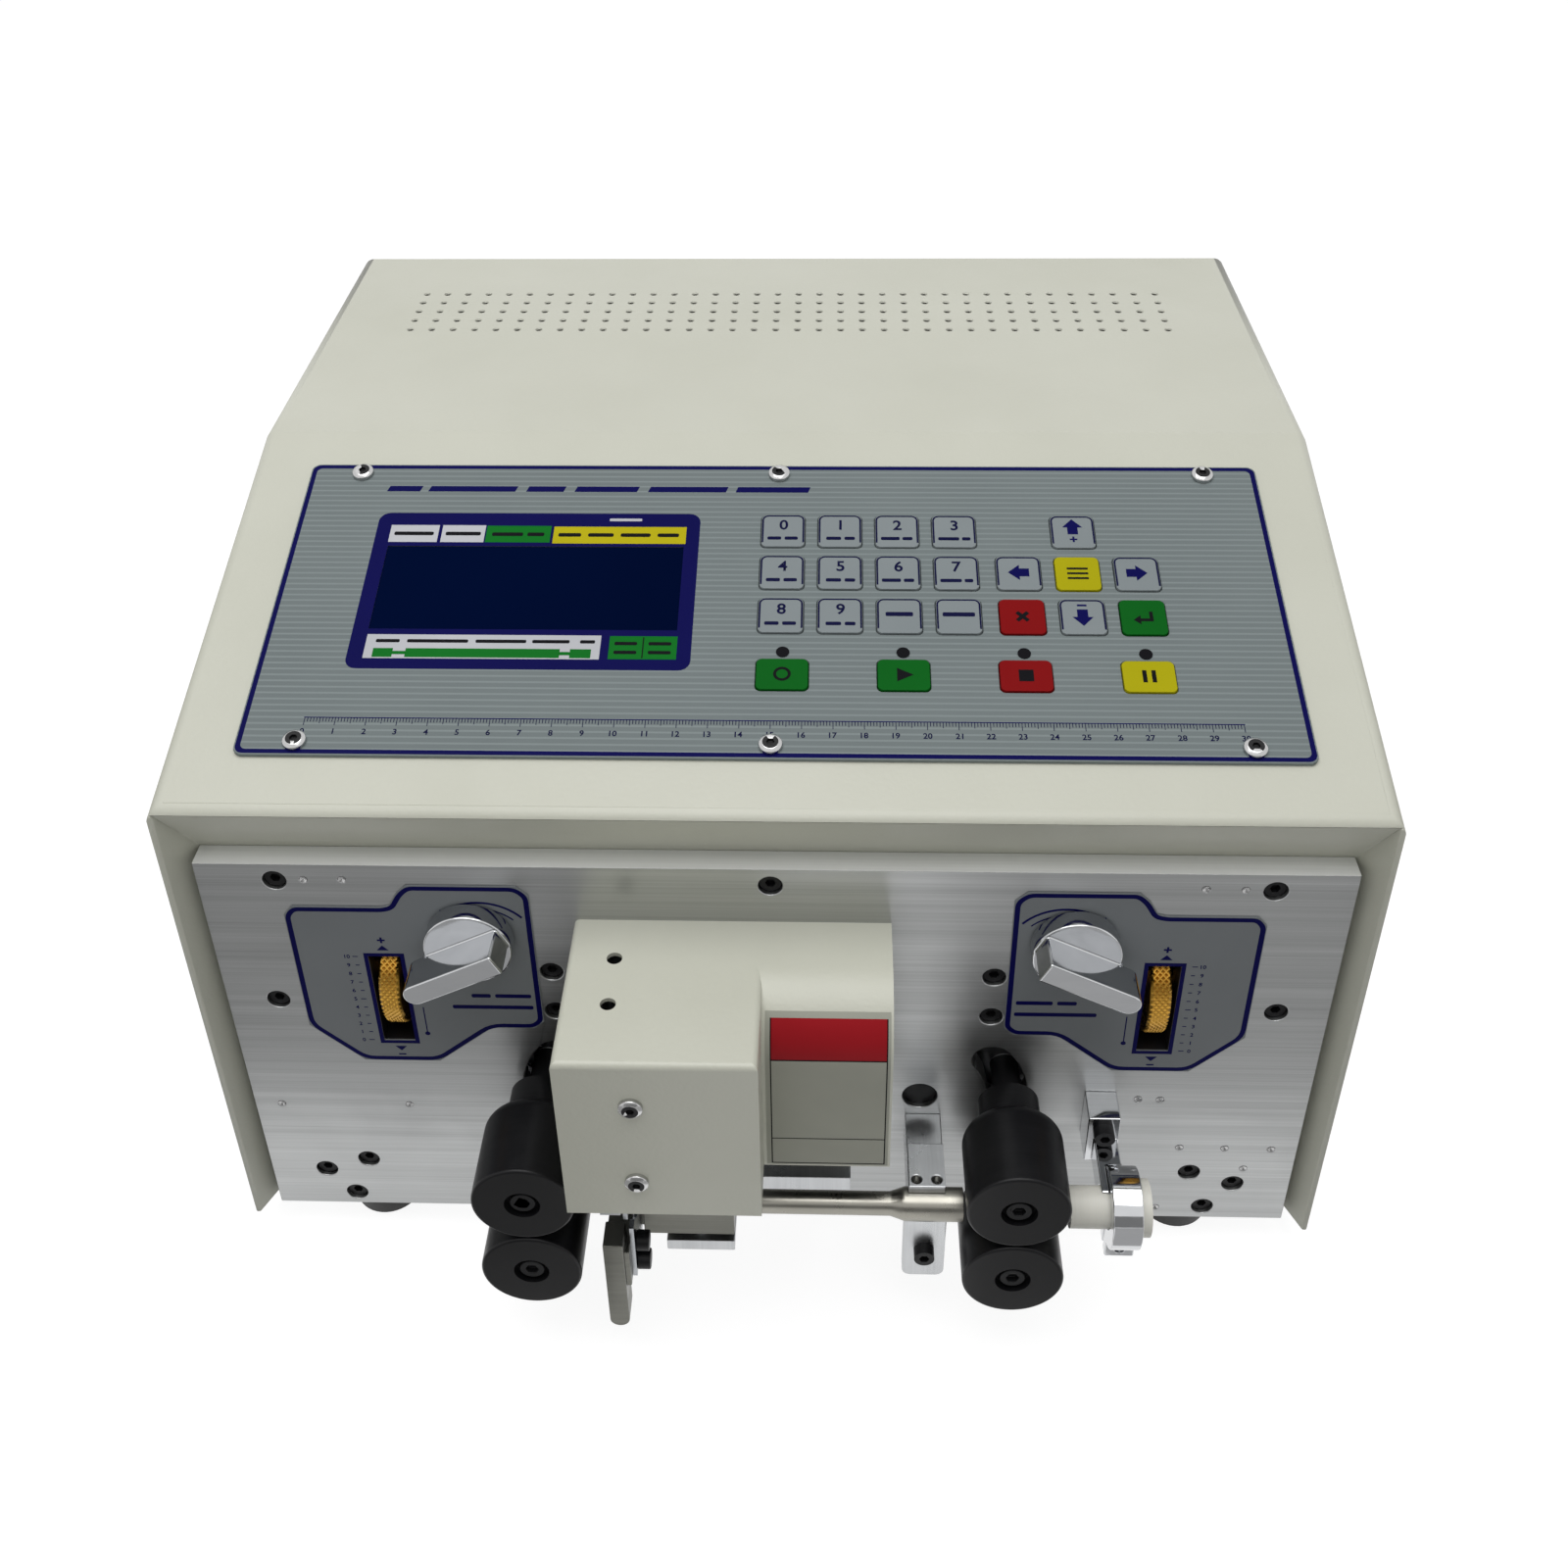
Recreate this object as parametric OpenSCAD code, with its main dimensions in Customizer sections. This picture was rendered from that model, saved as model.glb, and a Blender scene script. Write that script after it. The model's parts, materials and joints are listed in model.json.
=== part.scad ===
// Bench machine that feeds, cuts and strips wire.
// Model axes: X to the right, +Y to the rear, +Z up; millimetres.
// Inside the modules y = 0 is the face of the front plate and z = 0 is its lower edge.

/* [Housing] */
// Width over the side walls
house_w = 388; // [384:1:410]
// Depth from the front rim to the rear edge
house_d = 330; // [320:1:360]
// Height of the level top above the lower edge
house_h = 240; // [235:1:250]
// Height of the front rim's top edge
front_h = 195.5; // [192:0.5:200]
// Slope of the control face in degrees
slope_deg = 15.1; // [14:0.1:16]
// Thickness of the sheet
sheet_t = 1.5; // [1.2:0.1:2]
// Outer radius of the bends along the sides
bend_r = 5; // [4:0.5:8]
// Reach of the front rim in front of the plate's face
rim_out = 4.6; // [3:0.1:6]

/* [Front plate] */
// Width of the plate
plate_w = 371.4; // [366:0.2:374]
// Height of the plate
plate_h = 169.6; // [166:0.2:174]
// Thickness of the plate
plate_t = 9; // [8:0.5:10]
// Diameter of the black socket screws
screw_d = 4; // [3:0.5:5]

/* [Control panel] */
// Width of the panel
panel_w = 342; // [336:1:350]
// Height of the panel along the slope
panel_h = 130.8; // [129:0.2:134]
// Thickness of the panel
panel_t = 1.5; // [1:0.1:2]
// Side of a square key
key_s = 15.1; // [14:0.1:15.6]
// Height of a key above the panel
key_proud = 0.6; // [0.5:0.1:1.2]
// Travel of a key
key_travel = 0.5; // [0.3:0.1:0.6]
// Width of the display window
win_w = 104; // [96:1:108]
// Height of the display window
win_h = 38; // [36:0.5:42]

/* [Feed rollers] */
// Diameter of a roller
roller_d = 34; // [32:0.5:34]
// Length of a roller's full diameter
roller_len = 33; // [30:0.5:34]
// Gap between the rollers of a pair with the lever down
roller_gap = 1; // [0.6:0.1:2]
// Distance of a roller from the middle of the machine
roller_x = 81; // [80.5:0.1:82]
// Diameter of shafts and axles
shaft_d = 10; // [9:0.5:11]
// Height of the wire line
wire_z = 50; // [49:0.5:51]
// Reach of the wire line in front of the plate
wire_out = 34; // [33:0.5:35]

/* [Swing arms] */
// Distance of an arm's pivot from the middle
pivot_x = 50.9; // [50:0.1:52]
// Height of an arm's pivot
pivot_z = 64.2; // [63:0.1:65]
// Diameter of the pivot pin
pivot_d = 12; // [11:0.5:13]
// Width of the curved slot
slot_w = 14; // [13:0.5:15]
// Angle of the slot's upper end above the level
slot_top = 37; // [34:1:38]

/* [Lift levers] */
// Distance of a lever from the middle
lever_x = 98.5; // [98:0.5:100]
// Height of a lever's axis
lever_z = 140; // [139:0.5:142]
// Diameter of the knob's disc
knob_d = 29; // [26:0.5:30]
// Reach of the handle from its axis
handle_r = 21.5; // [20:0.5:26]
// Throw of the cam on the lever's shaft
cam_throw = 5.6; // [5:0.05:6]

/* [Gap wheels] */
// Distance of a wheel from the middle
wheel_x = 128.8; // [128:0.2:131]
// Height of a wheel's axis
wheel_z = 109.4; // [108:0.2:110]
// Diameter of a wheel
wheel_d = 40; // [38:0.5:41]
// Width of a wheel's rim
wheel_w = 7; // [6:0.5:8]
// Width of the slot in the plate
wheel_slot_w = 10.8; // [10:0.2:12]
// Height of the slot in the plate
wheel_slot_h = 40.4; // [39:0.2:44]

/* [Blade cover] */
// Left edge of the cover
cover_left = -64; // [-65:0.5:-63]
// Right edge of the cover
cover_right = 39; // [37:0.5:40]
// Step between the deep and the shallow part
cover_step = -2; // [-4:0.5:0]
// Depth of the deep part
cover_d = 60.7; // [60:0.1:64]
// Depth of the shallow part
cover_shallow = 41; // [39:0.5:43]
// Radius of the shallow part's top bend
cover_r = 22; // [18:1:26]
// Lower edge of the cover
cover_z = 78; // [76:0.5:79]
// Top of the cover
cover_top = 147; // [146:0.5:150]

/* [Blades] */
// Stroke of each blade
blade_stroke = 5; // [3:0.5:5]
// Thickness of a blade
blade_t = 1.5; // [1:0.1:1.5]
// Width of a blade
blade_w = 20; // [18:0.5:22]
// Diameter of the lead screw
lead_d = 6; // [5:0.5:7]

/* [Wire guides] */
// Outer diameter of the guide tube's thin end
tube_d = 8; // [7:0.5:9]
// Outer diameter of the guide tube's thick end
tube_end_d = 11.3; // [10.5:0.1:12]
// Bore of the tube and the nozzle
wire_bore = 6.4; // [6:0.1:6.6]
// Outer diameter of the nylon nozzle
nozzle_d = 14; // [12:0.5:15]
// Outer diameter of the clamp ring
ring_d = 27; // [25:0.5:29]

/* [Vents] */
// Holes in a row
vent_cols = 36; // [20:1:38]
// Rows of holes
vent_rows = 5; // [3:1:6]
// Spacing of the holes
vent_pitch = 8.98; // [8:0.02:9.4]
// Diameter of a hole
vent_d = 3; // [2:0.1:4]

/* [Feet and rear] */
// Diameter of a foot
foot_d = 28; // [24:1:32]
// Height of a foot
foot_h = 13; // [10:0.5:18]
// Side of a motor
motor_s = 42.3; // [40:0.1:42.3]
// Length of a motor
motor_len = 48; // [40:1:48]
// Swing of the power switch in degrees
rocker_deg = 9; // [6:1:10]

/* [Fits] */
// Clearance of a shaft in its hole, on the radius
run_gap = 0.05; // [0.03:0.01:0.08]
// Clearance between pieces that slide past each other
slide_gap = 0.3; // [0.25:0.05:0.4]

/* [Hidden] */
$fn = 40;

paint = [0.80, 0.79, 0.74];
aluminium = [0.72, 0.73, 0.74];
steel = [0.55, 0.56, 0.58];
chrome = [0.82, 0.83, 0.85];
brass = [0.80, 0.58, 0.20];
black = [0.06, 0.06, 0.065];

// Housing
y_rim = -rim_out;
y_back = house_d - rim_out;
slope_z = front_h + rim_out * tan(slope_deg);
rim_lip = 2;
front_r = 4;
ridge_r = 10;
seat_gap = 0.3;
flange_side = 26;
flange_top = 14;
vent_y = y_back - 75.2;

// Panel and keys, measured along the slope from the plane of the front plate
panel_u = 16.2;
panel_r = 3;
screw_u = [panel_u + 5.1, panel_u + panel_h - 4.7];
screw_x = [-panel_w / 2 + 19.3, 0, panel_w / 2 - 19.3];
open_u = [panel_u + 15, panel_u + panel_h - 13];
open_x = panel_w / 2 - 20;
win_x = -84.5;
win_u = panel_u + 0.545 * panel_h;
key_r = 2;
skirt = 0.8;
skirt_t = 0.7;
wide_key = [17, 12.8];
square_key = [key_s, key_s];
digit_x = 2;
digit_pitch = 19.9;
arrow_x = 82.9;
arrow_pitch = 20.1;
row_u = panel_u + 0.748 * panel_h;
row_pitch = 0.149 * panel_h;
wide_x = 3;
wide_pitch = 39.7;
wide_u = panel_u + 0.257 * panel_h;
function digit_at(col, row) = [digit_x + col * digit_pitch, row_u - row * row_pitch];
function arrow_at(col, row) = [arrow_x + col * arrow_pitch, row_u - row * row_pitch];
function wide_at(col) = [wide_x + col * wide_pitch, wide_u];
squares_at = concat([for (row = [0:2], col = [0:3]) digit_at(col, row)],
    [for (row = [1:2], col = [0:2]) arrow_at(col, row)], [arrow_at(1, 0)]);
wides_at = [for (col = [0:3]) wide_at(col)];
key_under = 0.1;
board_t = 1.6;
board_side = 8;
board_end = 5;
board_gap = 0.1;
board_h = -max(sheet_t + board_gap, key_under + skirt_t + key_travel + slide_gap);
plain = [0.66, 0.68, 0.72];
green = [0.12, 0.50, 0.25];
yellow = [0.85, 0.80, 0.15];
red = [0.70, 0.15, 0.17];

// Mechanism behind the plate
arm_y = plate_t + 3;
arm_t = 6;
wall_y = plate_t + 21;
wall_t = 2;
wall_w = 300;
wall_h = 160;
base_t = 2;
wheel_y = plate_t + 8;
wheel_shaft_d = 8;
lug_t = 3;
lug_in = wheel_x - 17;
lug_out = wheel_x + 15;
roller_r = roller_d / 2;
low_z = wire_z - roller_gap / 2 - roller_r;
high_z = wire_z + roller_gap / 2 + roller_r;
arm_r = norm([roller_x - pivot_x, high_z - pivot_z]);
arm_rest = atan2(high_z - pivot_z, roller_x - pivot_x);
roller_front = -wire_out - roller_len / 2;
slot_step = 0.2;
hub_d = 21;
hub_back = y_rim - 0.8;
shoulder_r = 6;
recess_d = 12;
recess_t = 3;
head_d = 7;
head_t = 4;
label_t = 0.5;
handle_deg = -27;
handle_w = 8;
handle_t = 12.5;
disc_t = 7;
disc_back = -label_t - 0.4;
cam_deg = 45;
cam_gap = 0.4;
cam_d = shaft_d + 2 * cam_throw + 0.5;
face_x = lever_x + cam_throw * cos(cam_deg) - cam_d / 2 - cam_gap;
arm_top = lever_z + 14;
upright_w = 12;
pivot_boss = 11;
axle_boss = 9;

// Guides for the wire
clamp_x = 52.2;
clamp_w = 12.5;
tab_y = -wire_out;
tab_t = 5;
tab_screw_z = wire_z - 24.5;
ring_x = 113;
ring_w = 10;
foot_x = 113.5;
foot_out = 12;
bracket_screw_z = wire_z + 12;
nozzle_x = 100;
tube_gap = 12;
tube_stop = 16.5;

// Blade head
cover_t = 1.5;
cover_edge = 2;
cover_holes = [-17.1, -36.4];
cover_hole_d = 5;
tab_inset = 23.2;
tab_hole_x = cover_left + tab_inset;
tab_holes = [cover_z + 16.3, cover_top - 18];
tab_top = cover_top - 10;
tab_metal = 3;
lead_x = -25.7;
lead_y = -21.6;
shelf_z = 89;
shelf_t = 5;
sole_z = 14;
blade_x = -49.4;
block_front = -wire_out + 7;
plate_back_t = 8;
way_w = 10;
way_t = 4;
block_in = 12;
sole_t = 5;
holder_t = 6.8;
holder_front = -wire_out - 14;
upper_z = [60, 84];
lower_z = [22, 40];
upper_bolts = [66, 77];
lower_bolts = [26, 36];
bolt_y = -wire_out - 6;
bolt_d = 4;
bolt_head = 4.5;
blade_seat = 0.05;
finger_z = 2;
finger_top = 46;
finger_y = [-wire_out - 16, -wire_out - 6];
notch = 7;
bar_right = cover_right - 12;
bar_out = 14;
bar_z = [30, 37];

// Placing of the whole machine
button_d = 7.6;
button_t = 2.2;
inlet_x = 130;
inlet_z = 45;
inlet_w = 72;
inlet_h = 30;
inlet_t = 3;
socket_x = inlet_x - 13;
switch_x = inlet_x + 20;
inlet_depth = 22;
supply = [150, 98, 40];
supply_left = -165;
supply_rear = 150;
terminal = 16;
foot_inset = 44;
rocker_h = 19;
rocker_w = 12;
rocker_t = 5;
rocker_y = y_back + inlet_t - 2;
rocker_pin_d = 3;
rocker_pin_x = rocker_w / 2 + 2;
rocker_out = rocker_t * cos(rocker_deg) + rocker_h / 2 * sin(rocker_deg);
front_y = -cover_d - button_t;
rear_y = rocker_y + rocker_out;
shift_y = -(front_y + rear_y) / 2;

// Screws in the plate: distance from the middle and height
plate_screws = [[plate_w / 2 - 25.7, plate_h - 7], [plate_w / 2 - 17.7, 108], [73.5, 122.8], [73.5, 104.2],
    [plate_w / 2 - 20.4, 19.4], [plate_w / 2 - 36.7, 25.3], [plate_w / 2 - 29.7, 6.3]];
// Small tapped holes in the plate
tapped = [[-150.5, plate_h - 6.6], [-138, plate_h - 6.4], [138, plate_h - 6.4], [150.5, plate_h - 6.6],
    [-176, 55], [-130, 55.5], [126.7, 64.2], [134.4, 64], [144, 38.8], [160, 38.7], [176.4, 38.5],
    [168, 27.9], [139, 5.4]];

module placed() translate([0, shift_y, foot_h]) children();
module mirrored() mirror([1, 0, 0]) children();
module box(x0, x1, y0, y1, z0, z1) translate([x0, y0, z0]) cube([x1 - x0, y1 - y0, z1 - z0]);
// A flat shape drawn in X and Z, given depth along Y
module xz(y0, y1) translate([0, y1, 0]) rotate([90, 0, 0]) linear_extrude(height = y1 - y0) children();
// A flat shape drawn in Y and Z, given width along X
module yz(x0, x1) translate([x0, 0, 0]) rotate([90, 0, 90]) linear_extrude(height = x1 - x0) children();
module rod_y(x, z, y0, y1, d) translate([x, y1, z]) rotate([90, 0, 0]) cylinder(d = d, h = y1 - y0);
module rod_x(x0, x1, y, z, d) translate([x0, y, z]) rotate([0, 90, 0]) cylinder(d = d, h = x1 - x0);
module rod_z(x, y, z0, z1, d) translate([x, y, z0]) cylinder(d = d, h = z1 - z0);
module on_slope() translate([0, 0, slope_z]) rotate([slope_deg, 0, 0]) children();
module both_sides() {
    children();
    mirrored() children();
}

// Rectangle with rounded corners about the origin
module round_rect(size, r) {
    square([size[0] - 2 * r, size[1]], center = true);
    square([size[0], size[1] - 2 * r], center = true);
    for (sx = [-1, 1], sy = [-1, 1])
        translate([sx * (size[0] / 2 - r), sy * (size[1] / 2 - r)]) circle(r);
}

// Rectangle from z0 to z1 with its two upper corners rounded
module arch(w, z0, z1, r) {
    translate([-w / 2, z0]) square([w, z1 - r - z0]);
    translate([-w / 2 + r, z0]) square([w - 2 * r, z1 - z0]);
    for (s = [-1, 1]) translate([s * (w / 2 - r), z1 - r]) circle(r);
}

// What a bend of radius r takes off the sharp corner p between the points a and b
module corner_cut(a, p, b, r) {
    u = (a - p) / norm(a - p);
    v = (b - p) / norm(b - p);
    half = acos(u * v) / 2;
    inward = (u + v) / norm(u + v);
    centre = p + inward * r / sin(half);
    difference() {
        polygon([p - inward, p + u * r / tan(half), centre, p + v * r / tan(half)]);
        translate(centre) circle(r);
    }
}

// Side view of the housing, taken in by off
module shell_side(off) {
    z_drop = off / cos(slope_deg);
    y0 = y_rim + off;
    a = [y0, off > 0 ? -1 : 0];
    b = [y0, slope_z + y0 * tan(slope_deg) - z_drop];
    c = [(house_h - off - slope_z + z_drop) / tan(slope_deg), house_h - off];
    d = [off > 0 ? y_back + 1 : y_back, house_h - off];
    difference() {
        polygon([a, b, c, d, [d[0], a[1]]]);
        corner_cut(a, b, c, front_r - off);
        corner_cut(b, c, d, ridge_r);
    }
}

// The housing as a solid, taken in by off, with bends along both sides
module shell_solid(off) {
    w = house_w - 2 * off;
    intersection() {
        yz(-w / 2, w / 2) shell_side(off);
        xz(y_rim - 5, y_back + 5) arch(w, -5, house_h - off, bend_r - off);
        on_slope() xz(-house_d, house_d) arch(w, -house_h - front_h, -off, bend_r - off);
    }
}

// The space in front of the bevelled rim, grown by dx and dz, down to the depth y1
module rim_space(dx, dz, y1) {
    y0 = y_rim - 2;
    run = plate_t - y_rim;
    x_fall = (house_w / 2 - rim_lip - plate_w / 2 - seat_gap) / run;
    z_fall = (front_h - rim_lip - plate_h - seat_gap) / run;
    x0 = house_w / 2 - rim_lip + 2 * x_fall + dx;
    x1 = plate_w / 2 + seat_gap + dx - (y1 - plate_t) * x_fall;
    z0 = front_h - rim_lip + 2 * z_fall + dz;
    z1 = plate_h + seat_gap + dz - (y1 - plate_t) * z_fall;
    intersection() {
        yz(-house_w, house_w) polygon([[y0, -5], [y0, z0], [y1, z1], [y1, -5]]);
        translate([0, 0, -5]) linear_extrude(height = house_h)
            polygon([[-x0, y0], [x0, y0], [x1, y1], [-x1, y1]]);
    }
}

module vents() {
    for (i = [0:vent_cols - 1], j = [0:vent_rows - 1])
        translate([(i - (vent_cols - 1) / 2) * vent_pitch, vent_y + j * vent_pitch, house_h - sheet_t - 1])
            cylinder(d = vent_d, h = sheet_t + 2, $fn = 13);
}

module housing() color(paint) placed() difference() {
    shell_solid(0);
    difference() {
        shell_solid(sheet_t);
        rim_space(sheet_t * 1.2, sheet_t * 2.1, plate_t + sheet_t);
    }
    rim_space(0, 0, plate_t);
    box(-plate_w / 2 + flange_side, plate_w / 2 - flange_side, 0, plate_t + 3 * sheet_t, -5,
        plate_h - flange_top);
    on_slope() box(-open_x, open_x, open_u[0], open_u[1], -5, 5);
    on_slope() for (x = screw_x, u = screw_u) rod_z(x, u, -5, 5, screw_d + 2 * run_gap);
    both_sides() for (p = plate_screws)
        rod_y(p[0], p[1], plate_t - 1, plate_t + 4, screw_d + 2 * run_gap);
    rod_y(0, plate_h - 7, plate_t - 1, plate_t + 4, screw_d + 2 * run_gap);
    vents();
}

// Base tray, rear wall and the inner wall that carries the mechanism
module chassis() color(steel) placed() {
    inner_x = house_w / 2 - sheet_t - slide_gap;
    front = plate_t + sheet_t + 1;
    box(-inner_x, inner_x, front, y_back - 1, 0, base_t);
    for (s = [-1, 1]) translate([s * (inner_x - 1), 0, 0]) box(-1, 1, front, y_back - 1, 0, 14);
    difference() {
        intersection() {
            shell_solid(sheet_t + slide_gap);
            box(-house_w, house_w, y_back - 2, y_back, 0, house_h);
        }
        rear_holes();
    }
    bearing_wall();
}

module rear_holes() {
    box(inlet_x - inlet_w / 2 + 4, inlet_x + inlet_w / 2 - 4, y_back - 5, y_back + 5, inlet_z - 11,
        inlet_z + 11);
    for (i = [0:8], s = [-1, 1])
        box(s * 90 - 40, s * 90 + 40, y_back - 5, y_back + 5, 110 + i * 8, 113 + i * 8);
}

module bearing_wall() {
    difference() {
        box(-wall_w / 2, wall_w / 2, wall_y, wall_y + wall_t, 0, wall_h);
        both_sides() {
            rod_y(roller_x, low_z, wall_y - 1, wall_y + 5, 22.5);
            rod_y(pivot_x, pivot_z, wall_y - 1, wall_y + 5, pivot_d + 2 * run_gap);
            rod_y(lever_x, lever_z, wall_y - 1, wall_y + 5, shaft_d + 2 * run_gap);
            box(wheel_x - 7, wheel_x + 7, wall_y - 1, wall_y + 5, wheel_z - 23, wheel_z + 23);
        }
    }
    both_sides() for (x = [lug_in, lug_out]) difference() {
        box(x - lug_t / 2, x + lug_t / 2, plate_t + 1.5, wall_y + 0.5, wheel_z - 10, wheel_z + 10);
        rod_x(x - 5, x + 5, wheel_y, wheel_z, wheel_shaft_d + 2 * run_gap);
    }
}

// Curved slot about the pivot for the upper roller's axle, its round ends a little narrower
module arm_slot() {
    low = arm_rest - 3;
    xz(-5, plate_t + 5) translate([pivot_x, pivot_z]) {
        intersection() {
            difference() {
                circle(arm_r + slot_w / 2, $fn = 80);
                circle(arm_r - slot_w / 2, $fn = 80);
            }
            polygon([[0, 0], 60 * [cos(low), sin(low)], 60 * [cos(slot_top), sin(slot_top)]]);
        }
        for (a = [low, slot_top]) translate(arm_r * [cos(a), sin(a)]) circle(d = slot_w - slot_step);
    }
}

module front_plate() color(aluminium) placed() difference() {
    box(-plate_w / 2, plate_w / 2, 0, plate_t, 0, plate_h);
    both_sides() {
        for (p = plate_screws) screw_hole(p[0], p[1]);
        arm_slot();
        rod_y(pivot_x, pivot_z, -1, plate_t + 1, pivot_d + 2 * run_gap);
        rod_y(lever_x, lever_z, -1, plate_t + 1, shaft_d + 2 * run_gap);
        rod_y(roller_x, low_z, -1, plate_t + 1, shaft_d + 2 * run_gap);
        box(wheel_x - wheel_slot_w / 2, wheel_x + wheel_slot_w / 2, -1, plate_t + 1,
            wheel_z - wheel_slot_h / 2, wheel_z + wheel_slot_h / 2);
    }
    screw_hole(0, plate_h - 7);
    for (p = tapped) translate([p[0], -1, p[1]]) rotate([-90, 0, 0]) cylinder(d = 2.6, h = 6, $fn = 16);
}

module screw_hole(x, z) {
    rod_y(x, z, -1, head_t + 1.5, head_d + 0.8, $fn = 24);
    rod_y(x, z, 0, plate_t + 1, screw_d + 2 * run_gap, $fn = 24);
}

// Socket screw with its head's face at y
module socket_screw(x, z, y, len) difference() {
    union() {
        rod_y(x, z, y, y + head_t, head_d, $fn = 20);
        rod_y(x, z, y + head_t - 0.5, y + head_t + len, screw_d, $fn = 16);
    }
    translate([x, y + 2, z]) rotate([90, 0, 0]) cylinder(d = 3.6, h = 3, $fn = 6);
}

module socket_screws() color(black) placed() {
    shank = plate_t + sheet_t - head_t - 1.5;
    both_sides() for (p = plate_screws) socket_screw(p[0], p[1], 1.5, shank);
    socket_screw(0, plate_h - 7, 1.5, shank);
    socket_screw(clamp_x, tab_screw_z, tab_y - head_t, tab_t + 3);
    socket_screw(foot_x, bracket_screw_z, -foot_out - head_t, foot_out);
}

// Outline of a printed label round the lever and the wheel on the right
module label_outline() polygon([[82, 161.4], [117.5, 161.4], [121, 158], [124, 152.5], [127, 151.7],
    [156.2, 151.7], [159.2, 148], [159.2, 96.3], [142.2, 79.2], [116, 79.2], [96, 96.2], [81.5, 96.2],
    [78, 99.5], [78, 157.5]]);

module gap_label() difference() {
    xz(-label_t, 0) label_outline();
    rod_y(lever_x, lever_z, -2, 1, shaft_d + 1);
    box(wheel_x - wheel_slot_w / 2, wheel_x + wheel_slot_w / 2, -2, 1, wheel_z - wheel_slot_h / 2,
        wheel_z + wheel_slot_h / 2);
}

module gap_labels() color([0.60, 0.62, 0.66]) placed() both_sides() gap_label();

// Control panel
module key_shape(size, grow) round_rect([size[0] + 2 * grow, size[1] + 2 * grow], key_r, $fn = 16);

module control_panel() color([0.70, 0.71, 0.73]) placed() on_slope() difference() {
    translate([0, panel_u + panel_h / 2, 0]) linear_extrude(height = panel_t)
        round_rect([panel_w, panel_h], panel_r);
    translate([win_x, win_u, -1]) linear_extrude(height = 5) square([win_w + 0.4, win_h + 0.4], center = true);
    for (p = squares_at) translate([p[0], p[1], -1]) linear_extrude(height = 5)
        key_shape(square_key, slide_gap);
    for (p = wides_at) translate([p[0], p[1], -1]) linear_extrude(height = 5)
        key_shape(wide_key, slide_gap);
    for (x = screw_x, u = screw_u) rod_z(x, u, -5, 5, screw_d + 2 * run_gap);
}

module display() color([0.03, 0.06, 0.20]) placed() on_slope()
    translate([win_x - win_w / 2, win_u - win_h / 2, board_h]) cube([win_w, win_h, panel_t - 0.3 - board_h]);

module control_board() color([0.05, 0.30, 0.16]) placed() on_slope()
    box(-open_x - board_side, open_x + board_side, open_u[0] - board_end, open_u[1] + board_end,
        board_h - board_t, board_h);

// A key at p on the panel: its cap and a skirt that keeps it under the panel
module key_cap(p, size, tint) color(tint) placed() on_slope() translate([p[0], p[1], 0]) {
    translate([0, 0, -skirt_t - key_under]) linear_extrude(height = skirt_t) key_shape(size, skirt);
    translate([0, 0, -skirt_t]) linear_extrude(height = skirt_t + panel_t + key_proud) key_shape(size, 0);
}

module key_0() key_cap(digit_at(0, 0), square_key, plain);
module key_1() key_cap(digit_at(1, 0), square_key, plain);
module key_2() key_cap(digit_at(2, 0), square_key, plain);
module key_3() key_cap(digit_at(3, 0), square_key, plain);
module key_4() key_cap(digit_at(0, 1), square_key, plain);
module key_5() key_cap(digit_at(1, 1), square_key, plain);
module key_6() key_cap(digit_at(2, 1), square_key, plain);
module key_7() key_cap(digit_at(3, 1), square_key, plain);
module key_8() key_cap(digit_at(0, 2), square_key, plain);
module key_9() key_cap(digit_at(1, 2), square_key, plain);
module key_clear() key_cap(digit_at(2, 2), square_key, plain);
module key_program() key_cap(digit_at(3, 2), square_key, plain);
module key_up() key_cap(arrow_at(1, 0), square_key, plain);
module key_left() key_cap(arrow_at(0, 1), square_key, plain);
module key_system() key_cap(arrow_at(1, 1), square_key, yellow);
module key_right() key_cap(arrow_at(2, 1), square_key, plain);
module key_cancel() key_cap(arrow_at(0, 2), square_key, red);
module key_down() key_cap(arrow_at(1, 2), square_key, plain);
module key_enter() key_cap(arrow_at(2, 2), square_key, green);
module key_sample() key_cap(wide_at(0), wide_key, green);
module key_start() key_cap(wide_at(1), wide_key, green);
module key_stop() key_cap(wide_at(2), wide_key, red);
module key_pause() key_cap(wide_at(3), wide_key, yellow);

// Bright screw standing on z = 0, its shank below
module button_screw(len) difference() {
    union() {
        cylinder(d = button_d, h = button_t - 0.8, $fn = 24);
        translate([0, 0, button_t - 0.8]) cylinder(d1 = button_d, d2 = button_d - 2.4, h = 0.8, $fn = 24);
        translate([0, 0, -len]) cylinder(d = screw_d, h = len + 0.5, $fn = 16);
    }
    translate([0, 0, button_t - 1.2]) cylinder(d = 2.6, h = 3, $fn = 6);
}

module button_screws() color(chrome) placed() {
    on_slope() for (x = screw_x, u = screw_u) translate([x, u, panel_t]) button_screw(panel_t + sheet_t + 1);
    for (z = tab_holes) translate([tab_hole_x, -cover_d, z]) rotate([90, 0, 0])
        button_screw(cover_t + tab_metal);
}

// Blade cover, open below and behind
module deep_part(off) {
    w = cover_step - cover_left - 2 * off;
    translate([(cover_left + cover_step) / 2, 0, 0]) intersection() {
        xz(-cover_d + off, off > 0 ? 5 : 0) arch(w, cover_z - (off > 0 ? 5 : 0), cover_top - off, cover_edge);
        yz(-100, 100) difference() {
            translate([-cover_d + off, 0]) square([cover_d + 10, cover_top - off]);
            corner_cut([-cover_d + off, 0], [-cover_d + off, cover_top - off], [0, cover_top - off],
                cover_edge);
        }
    }
}

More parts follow.
